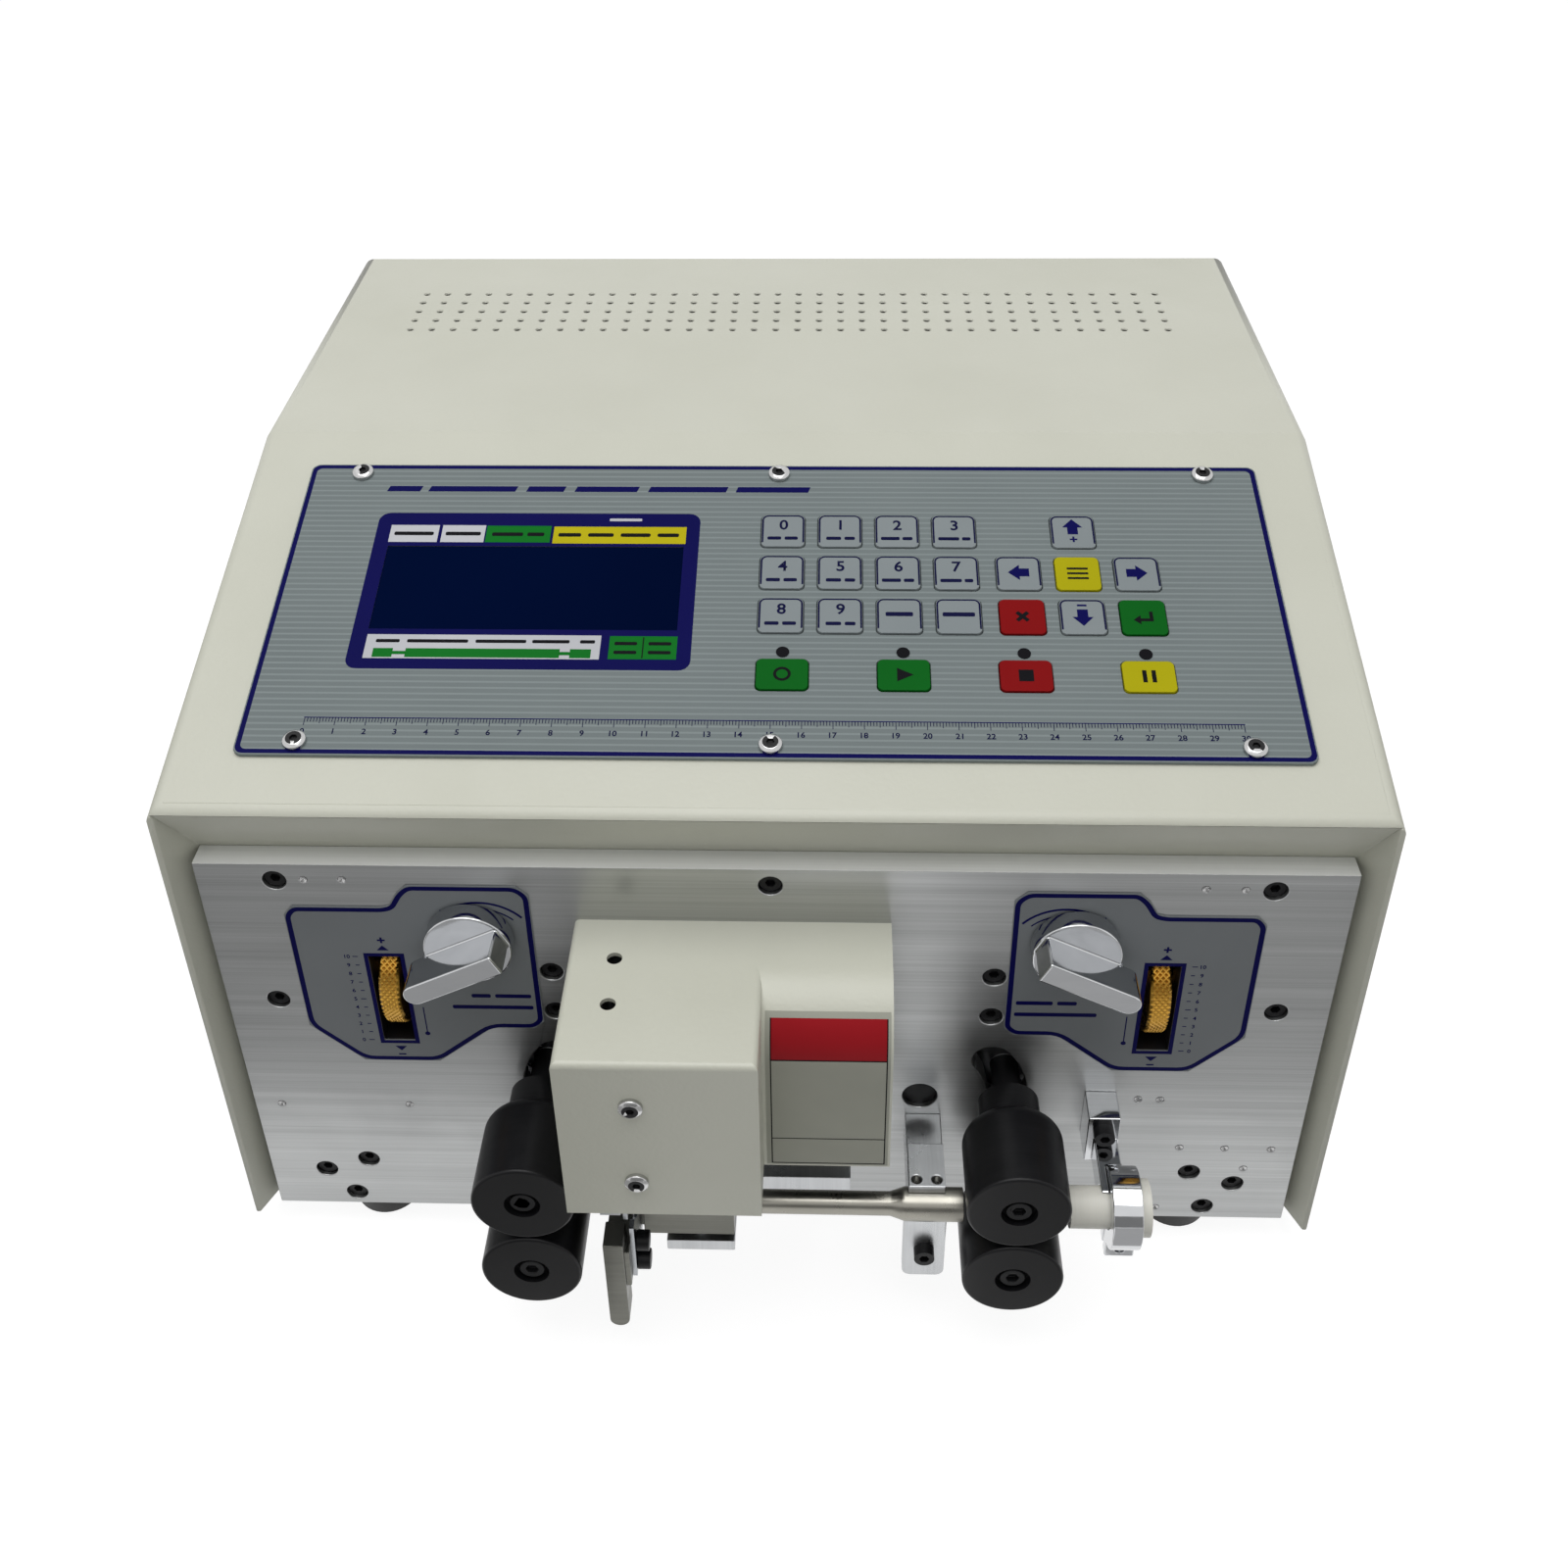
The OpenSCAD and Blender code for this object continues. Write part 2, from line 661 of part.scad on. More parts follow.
module shallow_part(off) {
    z0 = cover_z - (off > 0 ? 5 : 0);
    y0 = -cover_shallow + off;
    y1 = off > 0 ? 5 : 0;
    top = cover_top - off;
    yz(cover_step - 3, cover_right - off) difference() {
        polygon([[y0, z0], [y0, top], [y1, top], [y1, z0]]);
        corner_cut([y0, z0], [y0, top], [y1, top], cover_r - off);
    }
}

module blade_cover() color(paint) placed() difference() {
    union() {
        deep_part(0);
        shallow_part(0);
    }
    deep_part(cover_t);
    shallow_part(cover_t);
    for (y = cover_holes) rod_z(cover_left + 14.9, y, cover_top - 5, cover_top + 5, cover_hole_d);
    for (z = tab_holes) rod_y(tab_hole_x, z, -cover_d - 5, -cover_d + 5, screw_d + 2 * run_gap);
}

// Fixed frame of the blade head on the plate's face
module blade_frame() color(aluminium) placed() {
    x0 = cover_left + cover_t + 1;
    x1 = cover_step - cover_t - 1;
    tab_in = -cover_d + cover_t;
    difference() {
        union() {
            box(x0, x1, -plate_back_t, 0, sole_z, shelf_z + shelf_t);
            box(lead_x - way_w / 2, lead_x + way_w / 2, -plate_back_t - way_t, 0, sole_z, shelf_z);
            box(x0, x1, lead_y - motor_s / 2 - 1, 0, shelf_z, shelf_z + shelf_t);
            box(lead_x - block_in, lead_x + block_in, lead_y - lead_d, 0, sole_z, sole_z + sole_t);
            box(x0, x0 + tab_metal, tab_in, 0, shelf_z, tab_top);
            box(x0, tab_hole_x + button_d, tab_in, tab_in + tab_metal, shelf_z, tab_top);
            box(x1 - 1, bar_right, -bar_out, 0, bar_z[0], bar_z[1]);
        }
        rod_z(lead_x, lead_y, 0, cover_top - 20, lead_d + 2 * run_gap);
        for (z = tab_holes) rod_y(tab_hole_x, z, tab_in - 5, tab_in + 10, screw_d + 2 * run_gap);
    }
}

module motor() difference() {
    union() {
        linear_extrude(height = motor_len) round_rect([motor_s, motor_s], 4);
        translate([0, 0, -2]) cylinder(d = 22, h = 3);
    }
    translate([0, 0, -3]) cylinder(d = shaft_d + 1, h = 13);
}

module stepper_motors() color([0.16, 0.16, 0.17]) placed() {
    both_sides() translate([roller_x, wall_y + wall_t, low_z]) rotate([-90, 0, 0]) motor();
    translate([lead_x, lead_y, shelf_z + shelf_t]) difference() {
        linear_extrude(height = motor_len) round_rect([motor_s, motor_s], 4);
        translate([0, 0, -1]) cylinder(d = lead_d + 1, h = 9);
    }
}

// Blade drive
module blade_screw() color(steel) placed()
    rod_z(lead_x, lead_y, sole_z + 1, shelf_z + shelf_t + 6, lead_d);

module holder_block(z0, z1) difference() {
    box(blade_x - holder_t, lead_x + block_in, block_front, -plate_back_t - slide_gap, z0, z1);
    box(blade_x, blade_x + 2 * blade_t + 1, block_front - 1, -wire_out + blade_w / 2 + slide_gap, z0 - 1,
        z1 + 1);
    box(lead_x - way_w / 2 - slide_gap, lead_x + way_w / 2 + slide_gap, -plate_back_t - way_t - slide_gap, 0,
        z0 - 1, z1 + 1);
    rod_z(lead_x, lead_y, z0 - 1, z1 + 1, lead_d + 2 * run_gap);
}

module clamp_bolt(x0, x1, z) {
    rod_x(x0 - 1, x1 + 1, bolt_y, z, bolt_d, $fn = 20);
    rod_x(x1, x1 + bolt_head, bolt_y, z, head_d, $fn = 24);
}

module upper_blade_holder() color(steel) placed() {
    holder_block(upper_z[0], upper_z[1]);
    box(blade_x - holder_t, blade_x, holder_front, block_front + 1, upper_z[0], upper_z[1]);
    for (z = upper_bolts) clamp_bolt(blade_x, blade_x + blade_t + 2 * blade_seat, z);
}

module lower_blade_holder() color(steel) placed() {
    face = blade_x + blade_t + 2 * blade_seat;
    tip_r = holder_t / 2;
    holder_block(lower_z[0], lower_z[1]);
    box(blade_x - holder_t, face, holder_front, block_front + 1, lower_z[0], lower_z[1]);
    xz(finger_y[0], finger_y[1]) translate([blade_x - tip_r, finger_z + tip_r]) {
        translate([-tip_r, 0]) square([holder_t, finger_top - finger_z - tip_r]);
        circle(tip_r);
    }
    for (z = lower_bolts) clamp_bolt(face, face + blade_t + 2 * blade_seat, z);
}

// Blade with a notch; edge is the height of its points, way is +1 for an edge that faces up
module blade(x0, edge, root, way, holes) difference() {
    yz(x0, x0 + blade_t) difference() {
        translate([-wire_out - blade_w / 2, min(edge, root)]) square([blade_w, abs(edge - root)]);
        polygon([[-wire_out - notch, edge + way], [-wire_out + notch, edge + way],
            [-wire_out, edge - notch * way]]);
    }
    for (z = holes) rod_x(x0 - 1, x0 + 5, bolt_y, z, bolt_d + 2 * run_gap, $fn = 20);
}

module upper_blade() color([0.45, 0.46, 0.48]) placed()
    blade(blade_x + blade_seat, wire_z + blade_stroke / 2, upper_z[1] - 2, -1, upper_bolts);

module lower_blade() color([0.45, 0.46, 0.48]) placed()
    blade(blade_x + blade_t + 3 * blade_seat, wire_z - blade_stroke / 2, lower_z[0], 1, lower_bolts);

// Rollers: full diameter in front, rounded to a hub behind
module roller(x, z) difference() {
    back = -roller_front - roller_len;
    translate([x, 0, z]) rotate([90, 0, 0]) rotate_extrude($fn = 64) {
        translate([0, -hub_back]) square([hub_d / 2, back + hub_back + 1]);
        difference() {
            translate([0, back]) square([roller_r, roller_len]);
            corner_cut([0, back], [roller_r, back], [roller_r, back + roller_len], shoulder_r);
            corner_cut([roller_r, back], [roller_r, back + roller_len], [0, back + roller_len], 1);
        }
    }
    rod_y(x, z, roller_front - 1, 1, shaft_d + 2 * run_gap);
    rod_y(x, z, roller_front - 1, roller_front + recess_t, recess_d);
}

// Shaft from inside the roller's recess back to y1, with a socket in its end
module shaft(x, z, y1) difference() {
    union() {
        rod_y(x, z, roller_front + recess_t, y1, shaft_d);
        rod_y(x, z, roller_front + 0.8, roller_front + recess_t + 1, shaft_d - 1.6);
    }
    translate([x, roller_front + 3, z]) rotate([90, 0, 0]) cylinder(d = 4.6, h = 5, $fn = 6);
}

module lower_roller() color(black) placed() roller(roller_x, low_z);
module upper_roller() color(black) placed() roller(roller_x, high_z);
module drive_shaft() color(steel) placed() shaft(roller_x, low_z, wall_y + wall_t + 8);

// Arm behind the plate: pivot, roller axle and an upright that the lever's cam pushes
module arm_outline() {
    translate([pivot_x, pivot_z]) circle(pivot_boss);
    translate([roller_x, high_z]) circle(axle_boss);
    polygon([[pivot_x, pivot_z - axle_boss + 1], [roller_x, high_z - axle_boss + 1],
        [roller_x, high_z + axle_boss - 1], [pivot_x, pivot_z + axle_boss - 1]]);
    polygon([[pivot_x, pivot_z + axle_boss], [roller_x, high_z], [roller_x + axle_boss - 1, high_z + 4],
        [face_x, high_z + 24], [face_x, arm_top], [face_x - upright_w, arm_top],
        [face_x - upright_w, high_z + 36]]);
}

module swing_arm() color(steel) placed() {
    xz(arm_y, arm_y + arm_t) arm_outline();
    rod_y(pivot_x, pivot_z, 2, wall_y + wall_t, pivot_d);
    shaft(roller_x, high_z, arm_y + 1);
}

// Lever: knob with a bar handle, its shaft and the cam behind the plate
module lift_lever() color(chrome) placed() {
    rod_y(lever_x, lever_z, disc_back - 1, wall_y + wall_t, shaft_d);
    rod_y(lever_x, lever_z, disc_back - disc_t, disc_back, knob_d);
    xz(disc_back - disc_t - handle_t, disc_back - disc_t + 0.5)
        translate([lever_x, lever_z]) rotate(handle_deg) {
        tail = knob_d / 2 - 1;
        translate([-tail, -handle_w / 2]) square([handle_r + tail - handle_w / 2, handle_w]);
        translate([handle_r - handle_w / 2, 0]) circle(handle_w / 2);
    }
    xz(arm_y, arm_y + arm_t) translate([lever_x, lever_z]) rotate(cam_deg)
        translate([cam_throw, 0]) circle(d = cam_d);
}

// Knurled wheel on the screw that sets the smallest roller gap
module gap_wheel() color(brass) placed() {
    edge = 0.8;
    rod_x(face_x + cam_gap, lug_out + 6, wheel_y, wheel_z, wheel_shaft_d);
    translate([wheel_x - wheel_w / 2, wheel_y, wheel_z]) rotate([0, 90, 0]) rotate_extrude($fn = 64)
        polygon([[0, 0], [wheel_d / 2 - edge, 0], [wheel_d / 2, edge], [wheel_d / 2, wheel_w - edge],
            [wheel_d / 2 - edge, wheel_w], [0, wheel_w]]);
}

module right_lower_roller() lower_roller();
module right_drive_shaft() drive_shaft();
module right_upper_roller() upper_roller();
module right_swing_arm() swing_arm();
module right_lift_lever() lift_lever();
module right_gap_wheel() gap_wheel();
module left_lower_roller() mirrored() lower_roller();
module left_drive_shaft() mirrored() drive_shaft();
module left_upper_roller() mirrored() upper_roller();
module left_swing_arm() mirrored() swing_arm();
module left_lift_lever() mirrored() lift_lever();
module left_gap_wheel() mirrored() gap_wheel();

// Tube that leads the wire from the right rollers to the blades
module guide_tube() color(chrome) placed() {
    thin_x = blade_x + tube_gap;
    cone_x = clamp_x - clamp_w / 2 - 6;
    end_x = roller_x - tube_stop;
    difference() {
        union() {
            rod_x(thin_x, cone_x, -wire_out, wire_z, tube_d);
            translate([cone_x, -wire_out, wire_z]) rotate([0, 90, 0])
                cylinder(d1 = tube_d, d2 = tube_end_d, h = 5);
            rod_x(cone_x + 5, end_x, -wire_out, wire_z, tube_end_d);
        }
        rod_x(thin_x - 1, end_x + 1, -wire_out, wire_z, wire_bore);
    }
}

// Block on the plate that holds the tube from behind, with a tab that hangs below it
module guide_clamp() color(aluminium) placed() difference() {
    x0 = clamp_x - clamp_w / 2;
    x1 = clamp_x + clamp_w / 2;
    union() {
        box(x0, x1, -wire_out, -16, wire_z - 9, wire_z + 9);
        box(x0, x1, -17, 0, wire_z - 9, wire_z + 5);
        xz(tab_y, tab_y + tab_t) translate([clamp_x, wire_z - 23]) round_rect([clamp_w + 2, 32], 3);
    }
    rod_x(x0 - 5, x1 + 5, -wire_out, wire_z, tube_end_d + 2 * run_gap);
    for (s = [-1, 1]) rod_z(clamp_x + s * 3.4, -wire_out + 3, wire_z, wire_z + 20, 3.4, $fn = 20);
    rod_y(clamp_x, tab_screw_z, tab_y - 5, tab_y + 10, screw_d + 2 * run_gap);
}

// Split ring on an arm for the nozzle
module inlet_bracket() color(chrome) placed() difference() {
    lug_z = wire_z - ring_d / 2 - 2;
    ring_mid = ring_x + ring_w / 2;
    union() {
        box(foot_x - 5.5, foot_x + 5.5, -foot_out, 0, wire_z - 4, wire_z + 18);
        box(foot_x - 3, foot_x + 5, -wire_out, -foot_out + 1, wire_z - 3, wire_z + 8);
        rod_x(ring_x, ring_x + ring_w, -wire_out, wire_z, ring_d);
        box(ring_x, ring_x + ring_w, -wire_out - 5, -wire_out + 5, lug_z - 4, lug_z + 6);
    }
    rod_x(foot_x - 10, ring_x + 20, -wire_out, wire_z, nozzle_d + 2 * run_gap);
    box(ring_x - 5, ring_x + 20, -wire_out - 0.75, -wire_out + 0.75, lug_z - 10, wire_z);
    rod_y(ring_mid, lug_z - 1, -wire_out - 9, -wire_out + 9, 3, $fn = 20);
    rod_y(foot_x, bracket_screw_z, -foot_out - 5, 5, screw_d + 2 * run_gap);
}

module inlet_nozzle() color([0.93, 0.92, 0.87]) placed() {
    flange_x = ring_x + ring_w + 0.1;
    end_x = flange_x + 3.5;
    difference() {
        union() {
            rod_x(nozzle_x, flange_x + 1, -wire_out, wire_z, nozzle_d);
            rod_x(flange_x, end_x, -wire_out, wire_z, nozzle_d + 5);
        }
        rod_x(nozzle_x - 1, end_x + 1, -wire_out, wire_z, wire_bore);
        translate([end_x - 5, -wire_out, wire_z]) rotate([0, 90, 0])
            cylinder(d1 = wire_bore, d2 = nozzle_d, h = 5.01);
    }
}

// Mains inlet with the seat of the power switch
module power_inlet() color(black) placed() {
    difference() {
        union() {
            box(inlet_x - inlet_w / 2, inlet_x + inlet_w / 2, y_back, y_back + inlet_t, inlet_z - inlet_h / 2,
                inlet_z + inlet_h / 2);
            box(inlet_x - inlet_w / 2 + 5, inlet_x + inlet_w / 2 - 5, y_back - inlet_depth, y_back + 1,
                inlet_z - 10.5, inlet_z + 10.5);
        }
        box(socket_x - 12.2, socket_x + 12.2, y_back - 13, y_back + 5, inlet_z - 8.5, inlet_z + 8.5);
        box(switch_x - rocker_w / 2 - slide_gap, switch_x + rocker_w / 2 + slide_gap, y_back - 10, y_back + 5,
            inlet_z - rocker_h / 2 - 0.8, inlet_z + rocker_h / 2 + 0.8);
        rod_x(switch_x - rocker_pin_x - slide_gap, switch_x + rocker_pin_x + slide_gap, rocker_y, inlet_z,
            rocker_pin_d + 2 * run_gap);
    }
    for (p = [[-7, -2], [0, 2], [7, -2]])
        box(socket_x + p[0] - 1, socket_x + p[0] + 1, y_back - 14, y_back - 1, inlet_z + p[1] - 2,
            inlet_z + p[1] + 2);
}

module power_switch() color([0.05, 0.05, 0.05]) placed()
    translate([switch_x, rocker_y, inlet_z]) rotate([rocker_deg, 0, 0]) {
        yz(-rocker_w / 2, rocker_w / 2) polygon([[-7, -3], [0, -rocker_h / 2 + 1], [rocker_t, -rocker_h / 2],
            [rocker_t - 1.2, 0], [rocker_t, rocker_h / 2], [0, rocker_h / 2 - 1], [-7, 3]]);
        rod_x(-rocker_pin_x, rocker_pin_x, 0, 0, rocker_pin_d);
    }

module power_supply() color([0.62, 0.64, 0.66]) placed() {
    x0 = supply_left;
    y0 = y_back - supply_rear;
    box(x0, x0 + supply[0], y0, y0 + supply[1], base_t, base_t + supply[2]);
    box(x0 + supply[0] - 1, x0 + supply[0] + terminal, y0 + 6, y0 + supply[1] - 6, base_t, base_t + terminal);
}

module rubber_feet() color([0.05, 0.05, 0.05]) placed() {
    foot_in = house_w / 2 - foot_inset;
    for (x = [-foot_in, foot_in], y = [foot_d / 2 + 4, y_back - foot_d / 2 - 10])
        translate([x, y, -foot_h]) cylinder(d1 = foot_d - 3, d2 = foot_d, h = foot_h);
}

chassis();
housing();
front_plate();
gap_labels();
control_panel();
display();
control_board();
button_screws();
socket_screws();
rubber_feet();
blade_cover();
blade_frame();
stepper_motors();
power_supply();
power_inlet();
guide_tube();
guide_clamp();
inlet_bracket();
inlet_nozzle();
power_switch();
blade_screw();
upper_blade_holder();
lower_blade_holder();
upper_blade();
lower_blade();
left_lower_roller();
left_drive_shaft();
left_upper_roller();
left_swing_arm();
left_lift_lever();
left_gap_wheel();
right_lower_roller();
right_drive_shaft();
right_upper_roller();
right_swing_arm();
right_lift_lever();
right_gap_wheel();
key_0();
key_1();
key_2();
key_3();
key_4();
key_5();
key_6();
key_7();
key_8();
key_9();
key_clear();
key_program();
key_up();
key_left();
key_system();
key_right();
key_cancel();
key_down();
key_enter();
key_sample();
key_start();
key_stop();
key_pause();
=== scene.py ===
import bpy
import bmesh
import json
import math
from mathutils import Matrix, Vector
from mathutils.geometry import tessellate_polygon


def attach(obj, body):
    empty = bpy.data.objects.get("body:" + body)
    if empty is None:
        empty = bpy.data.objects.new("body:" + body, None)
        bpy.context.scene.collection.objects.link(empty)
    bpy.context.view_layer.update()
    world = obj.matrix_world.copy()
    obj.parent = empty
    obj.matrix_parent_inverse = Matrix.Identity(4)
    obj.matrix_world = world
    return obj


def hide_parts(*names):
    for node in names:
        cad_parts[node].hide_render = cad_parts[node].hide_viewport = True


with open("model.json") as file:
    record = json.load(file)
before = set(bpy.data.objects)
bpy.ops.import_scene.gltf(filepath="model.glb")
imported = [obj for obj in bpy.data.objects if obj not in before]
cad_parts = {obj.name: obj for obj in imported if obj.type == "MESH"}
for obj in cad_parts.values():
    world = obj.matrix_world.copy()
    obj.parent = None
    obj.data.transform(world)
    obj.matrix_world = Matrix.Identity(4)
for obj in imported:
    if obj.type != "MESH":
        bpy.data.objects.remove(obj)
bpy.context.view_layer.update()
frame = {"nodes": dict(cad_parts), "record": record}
nodes = frame["nodes"]
record = frame["record"]
bodyOf = {n: body for body, members in record["behaviour"]["bodies"].items() for n in members}
slotOf = {s["node"]: s["material_slot"] for s in record["subparts"]}
scene = bpy.context.scene
scene.view_settings.view_transform = "Standard"
print("frame:", len(nodes), "nodes")

# places in millimetres: the machine itself from its front plate, the sloping panel (across, up the slope,
# off it) and the front plate (across, height, off it)
seat = {"back": -0.134968, "lift": 0.013, "slopeZ": 196.741, "slopeDeg": 15.1}
onMachine = Matrix.Translation((0, seat["back"], seat["lift"])) @ Matrix.Scale(0.001, 4)
onSlope = (onMachine @ Matrix.Translation((0, 0, seat["slopeZ"]))
           @ Matrix.Rotation(math.radians(seat["slopeDeg"]), 4, "X"))
onPlate = onMachine @ Matrix.Rotation(math.radians(90), 4, "X")


# camera at the photograph's angle
shot = {"spot": (18.14, -406.74, 544.9), "right": (0.9993, 0.0310, -0.0140), "up": (-0.0060, 0.5550, 0.8320),
        "lens": 39.63, "shiftX": 0.0084, "shiftY": -0.1191}


def makeCamera():
    data = bpy.data.cameras.new("shotCamera")
    camera = bpy.data.objects.new("shotCamera", data)
    scene.collection.objects.link(camera)
    right = Vector(shot["right"]).normalized()
    up = Vector(shot["up"])
    up = (up - right * up.dot(right)).normalized()
    back = right.cross(up)
    turn = Matrix((right, up, back)).transposed().to_4x4()
    camera.matrix_world = Matrix.Translation(onMachine @ Vector(shot["spot"])) @ turn
    data.sensor_width = 36
    data.lens = shot["lens"]
    data.shift_x = shot["shiftX"]
    data.shift_y = shot["shiftY"]
    data.clip_start = 0.01
    data.clip_end = 50
    scene.camera = camera


makeCamera()


# node helpers
def addNode(tree, kind, inputs=None, **settings):
    node = tree.nodes.new(kind)
    for key, value in settings.items():
        setattr(node, key, value)
    for key, value in (inputs or {}).items():
        node.inputs[key].default_value = value
    return node


def mixColors(tree, factor, first, second):
    node = addNode(tree, "ShaderNodeMix", data_type="RGBA")
    for socket, value in ((node.inputs[0], factor), (node.inputs[6], first), (node.inputs[7], second)):
        if isinstance(value, bpy.types.NodeSocket):
            tree.links.new(value, socket)
        elif isinstance(value, (int, float)):
            socket.default_value = value
        else:
            socket.default_value = (*value, 1)
    return node.outputs[2]


def mathNode(tree, operation, first, second=0.0):
    node = addNode(tree, "ShaderNodeMath", operation=operation)
    for socket, value in ((node.inputs[0], first), (node.inputs[1], second)):
        if isinstance(value, bpy.types.NodeSocket):
            tree.links.new(value, socket)
        else:
            socket.default_value = value
    return node.outputs[0]


def rangeNode(tree, value, low, high, fromLow=0.0, fromHigh=1.0):
    node = addNode(tree, "ShaderNodeMapRange", {"From Min": fromLow, "From Max": fromHigh,
                                                "To Min": low, "To Max": high})
    tree.links.new(value, node.inputs["Value"])
    return node.outputs["Result"]


def newGroup(name, inputs, outputs):
    group = bpy.data.node_groups.new(name, "ShaderNodeTree")
    for label, kind, value in inputs:
        socket = group.interface.new_socket(label, in_out="INPUT", socket_type=kind)
        socket.default_value = value
    for label in outputs:
        group.interface.new_socket(label, in_out="OUTPUT", socket_type="NodeSocketFloat")
    return group, group.nodes.new("NodeGroupInput"), group.nodes.new("NodeGroupOutput")


# powder coat: small round hills and a slow change of tone
def makePeelGroup():
    group, start, end = newGroup("orangePeel", [("Scale", "NodeSocketFloat", 700.0)], ["Height", "Tone"])
    where = addNode(group, "ShaderNodeTexCoord")
    hills = addNode(group, "ShaderNodeTexNoise", {"Detail": 1.5, "Roughness": 0.5})
    slow = addNode(group, "ShaderNodeTexNoise", {"Detail": 3.0, "Roughness": 0.6})
    group.links.new(where.outputs["Object"], hills.inputs["Vector"])
    group.links.new(where.outputs["Object"], slow.inputs["Vector"])
    group.links.new(start.outputs["Scale"], hills.inputs["Scale"])
    group.links.new(mathNode(group, "MULTIPLY", start.outputs["Scale"], 0.02), slow.inputs["Scale"])
    group.links.new(hills.outputs["Fac"], end.inputs["Height"])
    group.links.new(slow.outputs["Fac"], end.inputs["Tone"])
    return group


# brushed or turned metal: lines that run along the small numbers of Run
def makeBrushGroup():
    run = ("Run", "NodeSocketVector", (10.0, 10.0, 1500.0))
    group, start, end = newGroup("brushMarks", [run], ["Height", "Tone"])
    where = addNode(group, "ShaderNodeTexCoord")
    fine = addNode(group, "ShaderNodeTexNoise", {"Scale": 1.0, "Detail": 4.0, "Roughness": 0.65})
    broad = addNode(group, "ShaderNodeTexNoise", {"Scale": 0.12, "Detail": 3.0, "Roughness": 0.6})
    stretch = addNode(group, "ShaderNodeVectorMath", operation="MULTIPLY")
    group.links.new(where.outputs["Object"], stretch.inputs[0])
    group.links.new(start.outputs["Run"], stretch.inputs[1])
    group.links.new(stretch.outputs[0], fine.inputs["Vector"])
    group.links.new(stretch.outputs[0], broad.inputs["Vector"])
    group.links.new(fine.outputs["Fac"], end.inputs["Height"])
    tone = mathNode(group, "ADD", mathNode(group, "MULTIPLY", fine.outputs["Fac"], 0.5),
                    mathNode(group, "MULTIPLY", broad.outputs["Fac"], 0.5))
    group.links.new(tone, end.inputs["Tone"])
    return group


# finger marks and dust
def makeHandlingGroup():
    group, start, end = newGroup("handling", [("Scale", "NodeSocketFloat", 30.0)], ["Mask"])
    where = addNode(group, "ShaderNodeTexCoord")
    cloud = addNode(group, "ShaderNodeTexNoise", {"Detail": 5.0, "Roughness": 0.62, "Distortion": 0.4})
    group.links.new(where.outputs["Object"], cloud.inputs["Vector"])
    group.links.new(start.outputs["Scale"], cloud.inputs["Scale"])
    group.links.new(rangeNode(group, cloud.outputs["Fac"], 0.0, 1.0, 0.35, 0.7), end.inputs["Mask"])
    return group


groups = {"peel": makePeelGroup(), "brush": makeBrushGroup(), "handling": makeHandlingGroup()}


def groupNode(tree, kind, **inputs):
    node = addNode(tree, "ShaderNodeGroup", node_tree=groups[kind])
    for key, value in inputs.items():
        node.inputs[key].default_value = value
    return node


# one finish: colour to shade by a grain's tone, roughness by handling, bump by the grain
def makeFinish(name, color, shade, rough, metal=0.0, shine=0.5, grain=("peel", 700.0), bump=0.1,
               depth=0.0002, marks=30.0, extra=None):
    material = bpy.data.materials.new(name)
    material.use_nodes = True
    tree = material.node_tree
    shader = tree.nodes["Principled BSDF"]
    shader.inputs["Metallic"].default_value = metal
    shader.inputs["Specular IOR Level"].default_value = shine
    if grain[0] == "peel":
        texture = groupNode(tree, "peel", Scale=grain[1])
    else:
        texture = groupNode(tree, "brush", Run=grain[1])
    touch = groupNode(tree, "handling", Scale=marks)
    tone = rangeNode(tree, texture.outputs["Tone"], 0.0, 1.0, 0.3, 0.7)
    shown = mixColors(tree, tone, color, shade)
    if extra:
        shown = extra(tree, shown)
    tree.links.new(shown, shader.inputs["Base Color"])
    tree.links.new(rangeNode(tree, touch.outputs["Mask"], rough[0], rough[1]), shader.inputs["Roughness"])
    relief = addNode(tree, "ShaderNodeBump", {"Strength": bump, "Distance": depth})
    tree.links.new(texture.outputs["Height"], relief.inputs["Height"])
    tree.links.new(relief.outputs["Normal"], shader.inputs["Normal"])
    return material


# fine bright lines across the panel, counted up the slope
panelLines = {"pitch": 0.0025, "share": 0.3, "light": (0.225, 0.26, 0.262)}


def drawPanelLines(tree, shown):
    where = addNode(tree, "ShaderNodeTexCoord")
    turn = addNode(tree, "ShaderNodeMapping", {"Rotation": (math.radians(-seat["slopeDeg"]), 0, 0)})
    tree.links.new(where.outputs["Object"], turn.inputs["Vector"])
    parts = addNode(tree, "ShaderNodeSeparateXYZ")
    tree.links.new(turn.outputs["Vector"], parts.inputs["Vector"])
    step = mathNode(tree, "FRACT", mathNode(tree, "DIVIDE", parts.outputs["Y"], panelLines["pitch"]))
    bright = mathNode(tree, "LESS_THAN", step, panelLines["share"])
    return mixColors(tree, bright, shown, panelLines["light"])


